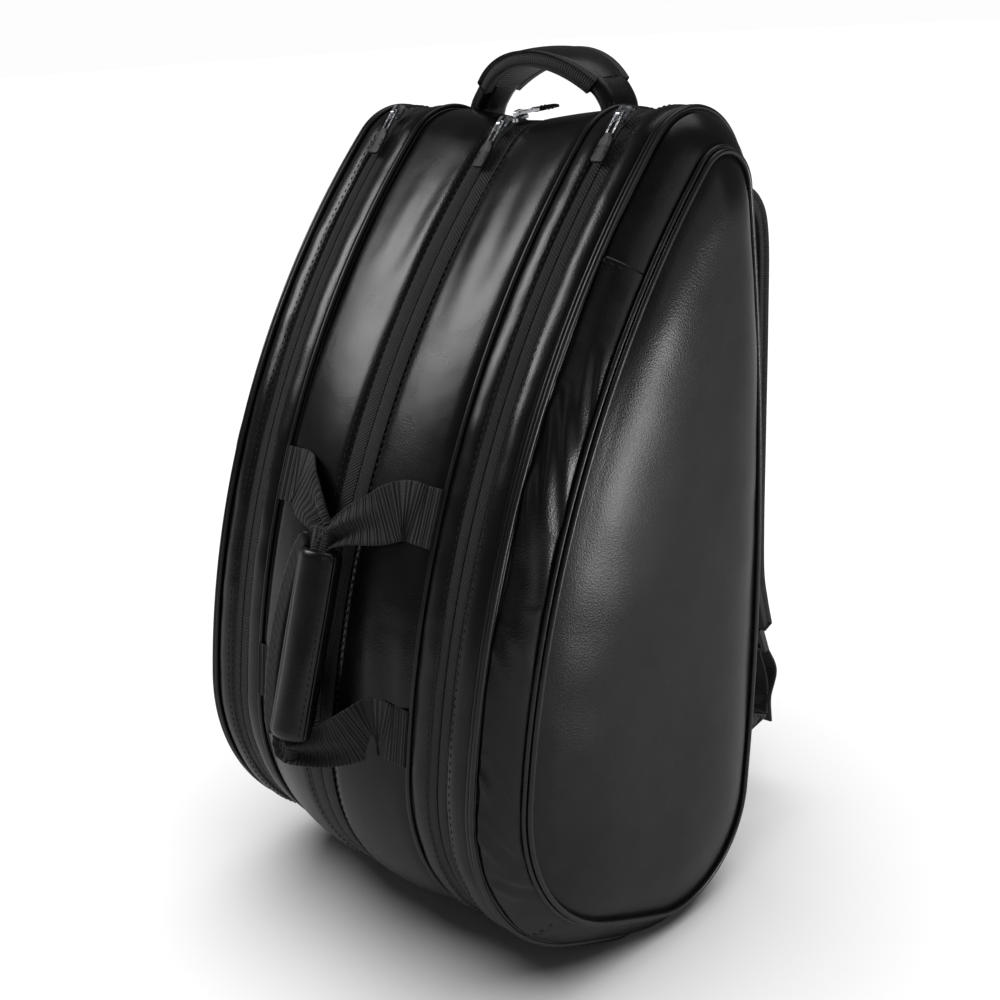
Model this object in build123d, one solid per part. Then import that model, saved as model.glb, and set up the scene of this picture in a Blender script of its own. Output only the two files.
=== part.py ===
"""Racket tournament bag: a standing three-compartment bag with two clamshell racket pockets.

Millimetres. +Z is up, X runs across the three compartments, and the front faces -Y.
The origin is the centre of the flat patch that the bag stands on.
Every soft wall follows one teardrop side profile, which lies in the YZ plane and is made of
three corner circles joined by three long arcs.
"""

from build123d import *
import os
from math import atan2, cos, degrees, pi, radians, sin, sqrt

# ---- Side profile: corner circles (centre y, centre z, radius) and the long arcs between them ----
TOP = (46.0, 509.0, 51.0)
FRONT_FOOT = (-34.0, 154.0, 142.0)
BACK_FOOT = (0.0, 89.0, 97.0)
FRONT_R = 650.0
BOTTOM_R = 1050.0
BACK_R = 1660.0
CENTRE_SWELL = 10.0      # how far the middle of the front stands out past its side seams
CENTRE_SAG = 8.0         # how far the middle of the top hangs below its side seams

# ---- Stations across the bag, all measured from the middle plane ----
SEAM_X = 80.0            # seam and divider between the centre and a racket pocket
ZIP_X = 106.0            # middle of a pocket zip, and the plane that a pocket opens on
RIM_X = 136.0            # outer piping, the widest ring of a pocket
PANEL_X = 161.0          # inner piping, round the padded side panel
PANEL_INSET = 24.0       # how far that ring lies inside the profile
DOME_X = 172.0           # crown of the padded side panel
DOME_INSET = 46.0

# ---- Walls and trims ----
WALL = 3.0               # coated fabric with its foam and lining
BACK_PAD = 3.0           # how far the padded back stands out of the profile
PIPE_W = 5.0             # piping, across
PIPE_OUT = 2.5           # piping, proud of the wall
DIVIDER = 5.0
BOARD = 2.5              # stiffening boards
BOARD_EDGE = 8.0         # margin round a board
TAPE_W = 8.0             # pocket zip tape and coil, from the opening plane to the seam
CENTRE_TAPE = 12.0
COIL_W = 3.0             # half of the closed coil, across
COIL_OUT = 0.8
COIL_IN = 2.4
TAPE_OUT = 0.5           # the tape lies this far under the wall's face
TAPE_IN = 1.7
POCKET_GAP = 0.4         # from the opening plane to each half of a pocket zip
CLEAR = 0.4              # between bodies that move past each other
SEWN = 0.1               # between layers of one body that are sewn together

# ---- Flat foot, back panel and the fabric hinge of a pocket ----
FOOT_HALF = 37.5
HINGE_Z = (120.0, 470.0)
HINGE_FROM_Y = 70.0
BACK_FROM_Y = 86.0
BACK_BOARD_Z = (90.0, 480.0)

# ---- Side band: the front length ends at two cross seams ----
BAND_FRONT_Z = (62.0, 486.0)
BAND_FRONT_TO_Y = 20.0

# ---- Zip sliders and their pulls ----
SLIDER_L = 13.0
SLIDER_W = 9.0
SLIDER_T = 2.2
SLIDER_LIFT = 2.0        # underside of the slider above the wall's face
BRIDGE_L = 8.0
BRIDGE_W = 2.6
BRIDGE_H = 4.2
PIN_AHEAD = 1.0
PIN_R = 0.9
PIN_PLAY = 0.35
PULL_L = 16.0
PULL_W = 6.4
PULL_ARM = 1.5
PULL_T = 1.8
TAB_GAP = 0.2
TAB_L = 19.0
TAB_W = 12.0
TAB_T = 2.6
FRONT_SLIDER_BACK = 15.0  # front sliders rest this far above the start of the long front arc
FRONT_PULL_LEAN = 5.0
REAR_SLIDER_DEG = 102.0   # rear centre slider's rest on the top circle, from +Y
REAR_PULL_LEAN = 9.0

# ---- Top carry handle ----
HANDLE_HALF_SPAN = 59.0
HANDLE_RISE = 25.0
HANDLE_W = 38.0
HANDLE_T = 7.0
HANDLE_LINING_T = 2.0
HANDLE_Y = 68.0
HANDLE_FOOT_Z = 572.0
HANDLE_FLEX = 12.0       # from the sewn feet to the handle, which leans in between

# ---- Front carry handle: a wrapped grip on four webbing legs; ends of its middle line as (y, z) ----
GRIP_TOP = (-165.0, 303.0)
GRIP_FOOT = (-206.0, 185.0)
GRIP_RX = 16.0
GRIP_RY = 12.0
GRIP_WALL = 3.0
GRIP_SPLIT_Y = -2.2
TONGUE_W = 15.0          # fleece tongue at the left edge of the sleeve
TONGUE_T = 3.0
GRIP_CORE_X = 20.0
GRIP_CORE_Y = 8.0
GRIP_CORE_PROUD = 22.0   # gathered webbing past each end of the sleeve
WEB_W = 38.0
WEB_T = 2.6
WEB_OFF = 0.3
WEB_GATHER_W = 18.0
WEB_GATHER_T = 5.0
WEB_GAP = 4.0            # from the end of the sleeve to the gathered webbing
WEB_UPPER_Z = 338.0
WEB_LOWER_Z = 192.0

# ---- Shoulder straps; middle lines as (y, z) points ----
STRAP_X = 74.0
STRAP_W = 62.0
STRAP_T = 12.0
STRAP_PATH = [(107.0, 504.0), (170.0, 484.0), (165.0, 200.0), (186.0, 146.0)]
STRAP_BEND = 32.0
STRAP_WEB_W = 30.0
STRAP_WEB_T = 2.0
BUCKLE_L = 24.0
BUCKLE_W = 44.0
BUCKLE_T = 5.0
BUCKLE_GAP = 3.0         # from the pad's end to the adjuster, which tilts there
STRAP_TAB_X = 95.0
STRAP_TAB_T = 2.4
STRAP_TAB_TIP = (198.0, 62.0)
STRAP_TAB_TOP = (100.0, 108.0)
STRAP_TAB_FOOT = (78.0, 42.0)
STRAP_TAB_ROOT = (70.0, 75.0)
YOKE_HALF = 76.0
YOKE_T = 2.5
YOKE_Z = (494.0, 534.0)

BIG = 1000.0
SIDES = ("right", "left")
parts = {}


# ---------------------------------------------------------------- profile geometry
def corner_circles(crown):
    """The three corner circles. crown runs from 0 at a seam to 1 at the centre zip."""
    top_y, top_z, top_r = TOP
    foot_y, foot_z, foot_r = FRONT_FOOT
    top = (top_y, top_z - CENTRE_SAG * crown, top_r)
    return [top, (foot_y - CENTRE_SWELL * crown, foot_z, foot_r), BACK_FOOT]


def long_arc_centre(first, second, radius):
    """Centre of the arc of that radius that holds both circles and bulges out of the profile."""
    (y1, z1, r1), (y2, z2, r2) = first, second
    span = sqrt((y2 - y1) ** 2 + (z2 - z1) ** 2)
    reach1, reach2 = radius - r1, radius - r2
    along = (reach1**2 - reach2**2 + span**2) / (2 * span)
    across = sqrt(reach1**2 - along**2)
    uy, uz = (y2 - y1) / span, (z2 - z1) / span
    return y1 + uy * along - uz * across, z1 + uz * along + uy * across


def profile_arcs(offset=0.0, crown=0.0):
    """The outline as (centre, radius, start angle, end angle), anticlockwise from the front's top."""
    corners = corner_circles(crown)
    radii = [FRONT_R, BOTTOM_R, BACK_R]
    long_arcs = []
    for i in range(3):
        here, there = corners[i], corners[(i + 1) % 3]
        cy, cz = long_arc_centre(here, there, radii[i])
        start = atan2(here[1] - cz, here[0] - cy)
        end = atan2(there[1] - cz, there[0] - cy)
        long_arcs.append(((cy, cz), radii[i] + offset, start, start + (end - start) % (2 * pi)))
    arcs = []
    for i in range(3):
        arcs.append(long_arcs[i])
        y, z, r = corners[(i + 1) % 3]
        start, end = long_arcs[i][3], long_arcs[(i + 1) % 3][2]
        arcs.append(((y, z), r + offset, start, start + (end - start) % (2 * pi)))
    return arcs


def on_circle(centre, radius, angle):
    return centre[0] + radius * cos(angle), centre[1] + radius * sin(angle)


def outline(offset=0.0, crown=0.0):
    """The side profile moved out by offset, as a face whose own axes are Y and Z."""
    edges = []
    for centre, radius, start, end in profile_arcs(offset, crown):
        points = [on_circle(centre, radius, start + (end - start) * k / 2) for k in range(3)]
        edges.append(ThreePointArc(*points))
    return make_face(edges)


def yz(x):
    """The plane across the bag at x, with its own axes along Y and Z."""
    return Plane(origin=(x, 0, 0), x_dir=(0, 1, 0), z_dir=(1, 0, 0))


def block(x, y, z):
    """A box from three (low, high) pairs."""
    size = (x[1] - x[0], y[1] - y[0], z[1] - z[0])
    return Pos(x[0], y[0], z[0]) * Box(*size, align=(Align.MIN, Align.MIN, Align.MIN))


def above(solid, floor):
    """The solid, cut off flat where it would reach below the floor."""
    return solid - block((-BIG, BIG), (-BIG, BIG), (-BIG, floor))


def slab(x0, x1, offset, floor=0.0, crown=0.0):
    """The whole profile, moved out by offset, between two stations."""
    return above(extrude(yz(x0) * outline(offset, crown), amount=x1 - x0), floor)


def ring(x0, x1, outer, inner, crown=0.0):
    """A straight band that follows the profile, from offset outer in to offset inner."""
    hollow = slab(x0 - 1, x1 + 1, inner, min(WALL, outer - inner), crown)
    return slab(x0, x1, outer, 0.0, crown) - hollow


def taper(x0, offset0, x1, offset1, floor=0.0, crown0=0.0, crown1=0.0):
    """The profile between two stations, where its offset or its crown changes on the way."""
    ends = [yz(x0) * outline(offset0, crown0), yz(x1) * outline(offset1, crown1)]
    return above(loft(ends, ruled=True), floor)


def taper_ring(x0, offset0, x1, offset1, crown0=0.0, crown1=0.0):
    """A wall between two stations, where its offset or its crown changes on the way."""
    outer = taper(x0, offset0, x1, offset1, 0.0, crown0, crown1)
    inner = taper(x0, offset0 - WALL, x1, offset1 - WALL, WALL, crown0, crown1)
    return outer - inner


def mirrored(solid):
    return mirror(solid, about=Plane.YZ)


def fixed_side(solid, side):
    """The right-hand piece, or its mirror image on the left."""
    return solid if side == "right" else mirrored(solid)


FOOT_REGION = block((-SEAM_X, SEAM_X), (-FOOT_HALF, FOOT_HALF), (-1, WALL + 1))
BACK_REGION = block((-BIG, BIG), (BACK_FROM_Y, BIG), (-BIG, BIG))
HINGE_REGION = block((-BIG, BIG), (HINGE_FROM_Y, BIG), HINGE_Z)
BAND_FRONT_REGION = block((-BIG, BIG), (-BIG, BAND_FRONT_TO_Y), BAND_FRONT_Z)


# ---------------------------------------------------------------- centre compartment
def centre_compartment():
    """Two gusset halves round the centre, their zip, dividers, seams, base and padded back."""
    seam_in = SEAM_X - PIPE_W / 2
    gusset = taper_ring(CENTRE_TAPE, 0, seam_in, 0, 1, 0) - BACK_REGION - FOOT_REGION
    piping = ring(seam_in, SEAM_X + PIPE_W / 2, PIPE_OUT, -WALL)
    divider = slab(SEAM_X - DIVIDER / 2, SEAM_X + DIVIDER / 2, -WALL, WALL)
    for side in SIDES:
        parts[f"{side}_centre_gusset"] = fixed_side(gusset, side)
        parts[f"{side}_seam_piping"] = fixed_side(piping, side)
        parts[f"{side}_divider"] = fixed_side(divider, side)

    tape = ring(COIL_W, CENTRE_TAPE, -TAPE_OUT, -TAPE_IN, 1) - BACK_REGION - FOOT_REGION
    parts["centre_zip_tapes"] = Compound(children=[tape, mirrored(tape)])
    coil = ring(-COIL_W, COIL_W, COIL_OUT, -COIL_IN, 1)
    parts["centre_zip_coil"] = coil - BACK_REGION - FOOT_REGION

    parts["base_panel"] = block((-seam_in, seam_in), (-FOOT_HALF, FOOT_HALF), (0, WALL))
    board_x, board_y = seam_in - BOARD_EDGE, FOOT_HALF - BOARD_EDGE
    parts["base_board"] = block((-board_x, board_x), (-board_y, board_y), (WALL, WALL + BOARD))
    parts["back_panel"] = ring(-seam_in, seam_in, BACK_PAD, -WALL) & BACK_REGION
    stiffener = ring(-board_x, board_x, -WALL, -WALL - BOARD)
    parts["back_board"] = stiffener & block((-BIG, BIG), (BACK_FROM_Y, BIG), BACK_BOARD_Z)


# ---------------------------------------------------------------- racket pockets
def racket_pockets():
    """The fixed mouth of each pocket, and the clamshell lid that swings on the fabric hinge."""
    pieces = pocket_mouth() | lid_rim() | lid_panel()
    for name, solid in pieces.items():
        for side in SIDES:
            parts[f"{side}_{name}"] = fixed_side(solid, side)
    hinge = ring(ZIP_X - TAPE_W, ZIP_X - POCKET_GAP, 0, -WALL) & HINGE_REGION
    parts["pocket_hinge_strips"] = Compound(children=[hinge, mirrored(hinge)])


def pocket_mouth():
    """What stays with the bag: the band round the mouth and its half of the zip."""
    seam_out, tape_from, shut = SEAM_X + PIPE_W / 2, ZIP_X - TAPE_W, ZIP_X - POCKET_GAP
    tape = ring(tape_from, shut - COIL_W, -TAPE_OUT, -TAPE_IN)
    coil = ring(shut - COIL_W, shut, COIL_OUT, -COIL_IN)
    return {
        "mouth_band": ring(seam_out, tape_from, 0, -WALL),
        "mouth_zip": (tape + coil) - HINGE_REGION,
    }


def lid_rim():
    """The lid's half of the zip, its band, and the piping at the widest ring."""
    shut, tape_to, rim_in = ZIP_X + POCKET_GAP, ZIP_X + TAPE_W, RIM_X - PIPE_W / 2
    tape = ring(shut + COIL_W, tape_to, -TAPE_OUT, -TAPE_IN)
    coil = ring(shut, shut + COIL_W, COIL_OUT, -COIL_IN)
    hinge_side = ring(shut, tape_to, 0, -WALL) & HINGE_REGION
    return {
        "lid_zip": (tape + coil) - HINGE_REGION,
        "lid_band": ring(tape_to, rim_in, 0, -WALL) + hinge_side,
        "rim_piping": ring(rim_in, RIM_X + PIPE_W / 2, PIPE_OUT, -WALL),
    }


def lid_panel():
    """The sloping side band in two lengths, the inner piping, the padded panel and its board."""
    rim_out, panel_in, panel_out = RIM_X + PIPE_W / 2, PANEL_X - PIPE_W / 2, PANEL_X + PIPE_W / 2
    slope = PANEL_INSET / (PANEL_X - RIM_X)
    band = taper_ring(rim_out, -slope * PIPE_W / 2, panel_in, -PANEL_INSET + slope * PIPE_W / 2)
    panel_edge = -PANEL_INSET - PIPE_OUT
    flat = slab(panel_in, panel_out, panel_edge, WALL)
    dome = taper(panel_out, panel_edge, DOME_X, -DOME_INSET, WALL)
    return {
        "side_band_front": band & BAND_FRONT_REGION,
        "side_band_rear": band - BAND_FRONT_REGION,
        "panel_piping": ring(panel_in, panel_out, -PANEL_INSET + PIPE_OUT, panel_edge),
        "side_panel": flat + dome,
        "panel_board": slab(panel_in - BOARD, panel_in, panel_edge - WALL, 2 * WALL),
    }


# ---------------------------------------------------------------- zip sliders
def slider_parts(name, x, path, angle, direction, pull_lean):
    """A slider, its pull and the leather tab, seated on a circular path about X.

    direction is +1 where the pull points down the front, and -1 where it points to the back.
    pull_lean leans the pull, in degrees.
    """
    centre, radius = path
    y, z = on_circle(centre, radius, angle)
    ahead = (0, -direction * sin(angle), direction * cos(angle))
    seat = Plane(origin=(x, y, z), x_dir=ahead, z_dir=(0, cos(angle), sin(angle))).location
    plate = Pos(0, 0, SLIDER_LIFT + SLIDER_T / 2) * Box(SLIDER_L, SLIDER_W, SLIDER_T)
    plate = fillet(plate.edges().filter_by(Axis.Z), SLIDER_W / 3)
    top = SLIDER_LIFT + SLIDER_T
    bridge = Pos(0, 0, top + BRIDGE_H / 2) * Box(BRIDGE_L, BRIDGE_W, BRIDGE_H)
    bridge = fillet(bridge.edges().filter_by(Axis.Y).group_by(Axis.Z)[-1], BRIDGE_H / 3)
    window = Pos(PIN_AHEAD, 0, top + BRIDGE_H / 2) * Box(
        2 * PIN_R + 2 * PIN_PLAY, 2 * BRIDGE_W, 2 * PIN_R + 2 * PIN_PLAY
    )
    parts[f"{name}_slider"] = seat * (plate + (bridge - window))

    pull_seat = seat * Pos(PIN_AHEAD, 0, top + BRIDGE_H / 2)
    lean = pull_seat * Rot(0, pull_lean, 0)
    arm_x = PULL_W / 2 - PULL_ARM / 2
    arms = [
        Pos(PULL_L / 2, side * arm_x, 0) * Box(PULL_L + PULL_ARM, PULL_ARM, PULL_T) for side in (-1, 1)
    ]
    pin = Rot(90, 0, 0) * Cylinder(PIN_R, PULL_W - PULL_ARM)
    end_bar = Pos(PULL_L, 0, 0) * Rot(90, 0, 0) * Cylinder(PIN_R, PULL_W - PULL_ARM)
    parts[f"{name}_pull"] = lean * (arms[0] + arms[1] + pin + end_bar)
    tab_start = PULL_L + PULL_ARM / 2 + TAB_GAP
    tab = Pos(tab_start + TAB_L / 2, 0, 0) * Box(TAB_L, TAB_W, TAB_T)
    parts[f"{name}_pull_tab"] = lean * fillet(tab.edges().filter_by(Axis.Z), TAB_W / 4)
    return pull_seat.position


def zip_sliders():
    """Four sliders: one on each pocket, and two that meet over the centre zip."""
    travel = {}
    for name, x, crown in (("right", ZIP_X, 0), ("left", -ZIP_X, 0), ("centre_front", 0, 1)):
        centre, radius, start, _end = profile_arcs(0, crown)[0]
        angle = start - FRONT_SLIDER_BACK / radius
        pin = slider_parts(name, x, (centre, radius), angle, 1, FRONT_PULL_LEAN)
        travel[name] = (centre, pin)
    y, z, radius = corner_circles(1)[0]
    angle = radians(REAR_SLIDER_DEG)
    pin = slider_parts("centre_rear", 0, ((y, z), radius), angle, -1, REAR_PULL_LEAN)
    travel["centre_rear"] = ((y, z), pin)
    return travel


# ---------------------------------------------------------------- handles
def arch_band(drop, thickness, width):
    """A curved band of the top handle, whose outside lies that far under the handle's back."""
    radius = (HANDLE_HALF_SPAN**2 + HANDLE_RISE**2) / (2 * HANDLE_RISE)
    middle = Pos(0, HANDLE_Y, HANDLE_FOOT_Z + HANDLE_RISE - radius) * Rot(90, 0, 0)
    outer = middle * Cylinder(radius - drop, width)
    inner = middle * Cylinder(radius - drop - thickness, width + 2)
    return (outer - inner) & block((-BIG, BIG), (-BIG, BIG), (HANDLE_FOOT_Z, BIG))


def top_handle():
    """The padded grab handle over the back, its mesh lining, and its two sewn feet."""
    parts["top_handle"] = arch_band(0.0, HANDLE_T, HANDLE_W)
    parts["top_handle_lining"] = arch_band(HANDLE_T, HANDLE_LINING_T, HANDLE_W - 4)
    foot_x = (HANDLE_HALF_SPAN - HANDLE_T, HANDLE_HALF_SPAN)
    foot_y = (HANDLE_Y - HANDLE_W / 4, HANDLE_Y + HANDLE_W / 4)
    foot = block(foot_x, foot_y, (TOP[1], HANDLE_FOOT_Z - HANDLE_FLEX)) - slab(0, SEAM_X, CLEAR)
    parts["top_handle_feet"] = Compound(children=[foot, mirrored(foot)])


def grip_place():
    """The frame of the front grip: origin at its middle, z up along it, -y away from the bag."""
    (top_y, top_z), (foot_y, foot_z) = GRIP_TOP, GRIP_FOOT
    middle = (0, (top_y + foot_y) / 2, (top_z + foot_z) / 2)
    return Plane(origin=middle, x_dir=(1, 0, 0), z_dir=(0, top_y - foot_y, top_z - foot_z)).location


def grip_length():
    return sqrt((GRIP_TOP[0] - GRIP_FOOT[0]) ** 2 + (GRIP_TOP[1] - GRIP_FOOT[1]) ** 2)


def web_solid(x_seam, seam_z, tip):
    """One leg of the webbing, from its seam to the side of the grip."""
    centre, radius, _start, _end = profile_arcs(0, 0)[0]
    sin_a = (seam_z - centre[1]) / radius
    angle = pi - atan2(sin_a, sqrt(1 - sin_a**2))
    y, z = on_circle(centre, radius + WEB_T / 2 + WEB_OFF, angle)
    at_seam = Pos(y, z) * Rot(0, 0, degrees(angle)) * Rectangle(WEB_T, WEB_W)
    grip_lean = degrees(atan2(GRIP_TOP[1] - GRIP_FOOT[1], GRIP_TOP[0] - GRIP_FOOT[0]))
    at_grip = Pos(tip[0], tip[1]) * Rot(0, 0, grip_lean + 90) * Rectangle(WEB_GATHER_T, WEB_GATHER_W)
    return loft([yz(x_seam) * at_seam, yz(GRIP_CORE_X / 2 + CLEAR) * at_grip], ruled=True)


def front_handle():
    """Two webbing loops, gathered inside a leather sleeve that closes with a hook-and-loop flap."""
    place = grip_place()
    length = grip_length()
    parts["grip_core"] = place * Box(GRIP_CORE_X, GRIP_CORE_Y, length + 2 * GRIP_CORE_PROUD)
    tube = extrude(
        Ellipse(GRIP_RX, GRIP_RY) - Ellipse(GRIP_RX - GRIP_WALL, GRIP_RY - GRIP_WALL),
        amount=length / 2, both=True,
    )
    behind = block((-BIG, BIG), (GRIP_SPLIT_Y + CLEAR / 2, BIG), (-BIG, BIG))
    before = block((-BIG, BIG), (-BIG, GRIP_SPLIT_Y - CLEAR / 2), (-BIG, BIG))
    tongue = block(
        (-GRIP_RX - TONGUE_W, -GRIP_RX + GRIP_WALL),
        (GRIP_SPLIT_Y + CLEAR / 2, GRIP_SPLIT_Y + CLEAR / 2 + TONGUE_T),
        (-length / 2 + 4, length / 2 - 4),
    )
    core_room = extrude(Ellipse(GRIP_RX - GRIP_WALL, GRIP_RY - GRIP_WALL), amount=length, both=True)
    parts["grip_sleeve"] = place * ((tube & behind) + (tongue - core_room))
    parts["grip_flap"] = place * (tube & before)
    reach = length / 2 + WEB_GATHER_W / 2 + WEB_GAP
    ends = [(place * Pos(0, 0, side * reach)).position for side in (1, -1)]
    legs = []
    for end, seam_z in zip(ends, (WEB_UPPER_Z, WEB_LOWER_Z)):
        leg = web_solid(SEAM_X - PIPE_W / 2, seam_z, (end.Y, end.Z))
        legs += [leg, mirrored(leg)]
    parts["front_handle_webbing"] = Compound(children=legs)


# ---------------------------------------------------------------- shoulder straps
def strip(points, thickness, width, x_middle, radius=0.0):
    """A flat strap whose middle line runs through (y, z) points, with rounded turns."""
    line = FilletPolyline(*points, radius=radius) if radius else Polyline(*points)
    band = trace(line, line_width=thickness)
    return extrude(yz(x_middle - width / 2) * band, amount=width)


def shoulder_straps():
    """Two padded straps with their adjusters, the webbing below, and the patches that hold them."""
    pad = strip(STRAP_PATH, STRAP_T, STRAP_W, STRAP_X, STRAP_BEND)
    (near_y, near_z), (end_y, end_z) = STRAP_PATH[-2:]
    along = (0, end_y - near_y, end_z - near_z)
    pad_end = Plane(origin=(STRAP_X, end_y, end_z), x_dir=(1, 0, 0), z_dir=along)
    frame = Box(BUCKLE_W, BUCKLE_T, BUCKLE_L)
    for end in (-1, 1):
        frame -= Pos(0, 0, end * BUCKLE_L / 4) * Box(BUCKLE_W - 8, BUCKLE_T * 2, BUCKLE_L / 4)
    buckle = pad_end.location * Pos(0, 0, BUCKLE_GAP + BUCKLE_L / 2) * frame
    web_from = (pad_end.location * Pos(0, 0, BUCKLE_GAP + BUCKLE_L + CLEAR)).position
    web_path = [(web_from.Y, web_from.Z), STRAP_TAB_TIP]
    web_x = STRAP_TAB_X - CLEAR - STRAP_WEB_W / 2
    web = strip(web_path, STRAP_WEB_T, STRAP_WEB_W, web_x)
    corners = [STRAP_TAB_TOP, STRAP_TAB_TIP, STRAP_TAB_FOOT, STRAP_TAB_ROOT]
    tab = extrude(yz(STRAP_TAB_X) * make_face(Polyline(*corners, close=True)), amount=STRAP_TAB_T)
    tab = tab - slab(STRAP_TAB_X - 1, STRAP_TAB_X + STRAP_TAB_T + 1, SEWN)
    for side in SIDES:
        parts[f"{side}_strap_pad"] = fixed_side(pad, side)
        parts[f"{side}_strap_adjuster"] = fixed_side(buckle, side)
        parts[f"{side}_strap_webbing"] = fixed_side(web, side)
    parts["strap_tabs"] = Compound(children=[tab, mirrored(tab)])
    yoke = ring(-YOKE_HALF, YOKE_HALF, BACK_PAD + YOKE_T, BACK_PAD + SEWN)
    parts["strap_yoke"] = yoke & block((-BIG, BIG), (BACK_FROM_Y, BIG), YOKE_Z)


if __name__ == "__main__":
    os.makedirs("parts", exist_ok=True)
    centre_compartment()
    racket_pockets()
    zip_sliders()
    top_handle()
    front_handle()
    shoulder_straps()
    for node, solid in parts.items():
        export_step(solid, f"parts/{node}.step")
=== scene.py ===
"""Looks of the racket tournament bag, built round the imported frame.

Metres. +Z is up, X runs across the compartments, the front faces -Y.
Soft walls are cross-sections carried round the bag's side profile; straps are cross-sections
carried along paths. u is the share of the way round the profile, from the top of the front,
down, under the bag and up the back. s and a are metres along and across a strap.
"""

import bmesh
import bpy
import math
import numpy as np
from mathutils import Matrix, Vector, noise


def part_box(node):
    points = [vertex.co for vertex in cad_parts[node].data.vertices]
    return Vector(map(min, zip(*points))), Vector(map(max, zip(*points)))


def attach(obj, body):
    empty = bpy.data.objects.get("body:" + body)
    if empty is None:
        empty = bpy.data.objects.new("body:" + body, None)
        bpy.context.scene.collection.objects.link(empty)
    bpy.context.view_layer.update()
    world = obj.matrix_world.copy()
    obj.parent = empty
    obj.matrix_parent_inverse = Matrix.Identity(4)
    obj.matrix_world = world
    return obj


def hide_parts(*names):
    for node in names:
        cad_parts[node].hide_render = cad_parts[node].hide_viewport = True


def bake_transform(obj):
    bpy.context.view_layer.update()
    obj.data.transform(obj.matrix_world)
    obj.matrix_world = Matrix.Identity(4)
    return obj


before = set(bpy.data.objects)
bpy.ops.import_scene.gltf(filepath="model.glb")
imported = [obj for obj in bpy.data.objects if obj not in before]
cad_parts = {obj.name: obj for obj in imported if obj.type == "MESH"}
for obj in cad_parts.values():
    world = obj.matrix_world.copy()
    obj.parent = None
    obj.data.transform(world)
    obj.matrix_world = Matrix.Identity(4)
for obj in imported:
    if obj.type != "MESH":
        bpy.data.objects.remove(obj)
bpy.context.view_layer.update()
SIDES = {"right": 1, "left": -1}


# ---- places, from the frame
def middle_x(node):
    low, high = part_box(node)
    return (low[0] + high[0]) / 2


SEAM_X = middle_x("right_seam_piping")
RIM_X = middle_x("right_rim_piping")
PANEL_X = middle_x("right_panel_piping")
ZIP_X = (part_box("right_mouth_zip")[1][0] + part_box("right_lid_zip")[0][0]) / 2
TAPE_X0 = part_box("right_mouth_zip")[0][0]
TAPE_X1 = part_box("right_lid_zip")[1][0]
CENTRE_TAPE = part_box("right_centre_gusset")[0][0]
DOME_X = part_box("right_side_panel")[1][0]
HINGE_Z = (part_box("pocket_hinge_strips")[0][2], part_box("pocket_hinge_strips")[1][2])

# ---- Side profile, as in the frame: corner circles (centre y, centre z, radius) and long arcs ----
TOP = (0.046, 0.509, 0.051)
FRONT_FOOT = (-0.034, 0.154, 0.142)
BACK_FOOT = (0.0, 0.089, 0.097)
LONG_RADII = (0.650, 1.050, 1.660)
CENTRE_SWELL = 0.010
CENTRE_SAG = 0.008
PANEL_INSET = 0.024
WALL = 0.003
BAND_SLOPE = PANEL_INSET / (PANEL_X - RIM_X)
BACK_PAD = 0.003
ROUND_STEPS = 460
INNER_POINTS = 5            # points on the inside of a wall's section, which wrinkles don't move
HINGE_Y = 0.110             # near where the fabric hinges run
STITCH = 0.0052             # pitch of the long rows
WEB_WIDTH = 0.038
WEB_RIB = 0.0024
X = np.array([1.0, 0.0, 0.0])


# ---- profile geometry
def profile_arcs(crown):
    """Centres, radii, start and end angles of the six arcs; crown is 0 at a seam, 1 at the centre zip."""
    corners = [
        (TOP[0], TOP[1] - CENTRE_SAG * crown, TOP[2]),
        (FRONT_FOOT[0] - CENTRE_SWELL * crown, FRONT_FOOT[1], FRONT_FOOT[2]),
        BACK_FOOT,
    ]
    long_arcs = []
    for i, radius in enumerate(LONG_RADII):
        (y1, z1, r1), (y2, z2, r2) = corners[i], corners[(i + 1) % 3]
        span = math.hypot(y2 - y1, z2 - z1)
        along = ((radius - r1) ** 2 - (radius - r2) ** 2 + span**2) / (2 * span)
        across = math.sqrt((radius - r1) ** 2 - along**2)
        uy, uz = (y2 - y1) / span, (z2 - z1) / span
        cy, cz = y1 + uy * along - uz * across, z1 + uz * along + uy * across
        start = math.atan2(z1 - cz, y1 - cy)
        end = start + (math.atan2(z2 - cz, y2 - cy) - start) % math.tau
        long_arcs.append((cy, cz, radius, start, end))
    arcs = []
    for i in range(3):
        arcs.append(long_arcs[i])
        start, end = long_arcs[i][4], long_arcs[(i + 1) % 3][3]
        arcs.append((*corners[(i + 1) % 3], start, start + (end - start) % math.tau))
    return np.array(arcs)


ARCS = (profile_arcs(0.0), profile_arcs(1.0))
ARC_LENGTHS = (ARCS[0][:, 4] - ARCS[0][:, 3]) * ARCS[0][:, 2]
PERIMETER = ARC_LENGTHS.sum()
U_EDGES = np.concatenate([[0.0], np.cumsum(ARC_LENGTHS) / PERIMETER])


def profile(u, offset=0.0, crown=0.0):
    """Points (y, z) on the side profile moved out by offset, and the outward normals."""
    u, offset, crown = np.broadcast_arrays(np.asarray(u, float) % 1.0, offset, crown)
    arc = np.clip(np.searchsorted(U_EDGES, u, side="right") - 1, 0, 5)
    share = (u - U_EDGES[arc]) / (U_EDGES[arc + 1] - U_EDGES[arc])
    points, normals = [], []
    for arcs in ARCS:
        cy, cz, radius, start, end = (arcs[arc, k] for k in range(5))
        angle = start + (end - start) * share
        normal = np.stack([np.cos(angle), np.sin(angle)], -1)
        points.append(np.stack([cy, cz], -1) + normal * radius[..., None])
        normals.append(normal)
    mix = crown[..., None]
    normal = normals[0] * (1 - mix) + normals[1] * mix
    normal /= np.linalg.norm(normal, axis=-1, keepdims=True)
    return points[0] * (1 - mix) + points[1] * mix + normal * offset[..., None], normal


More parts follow.
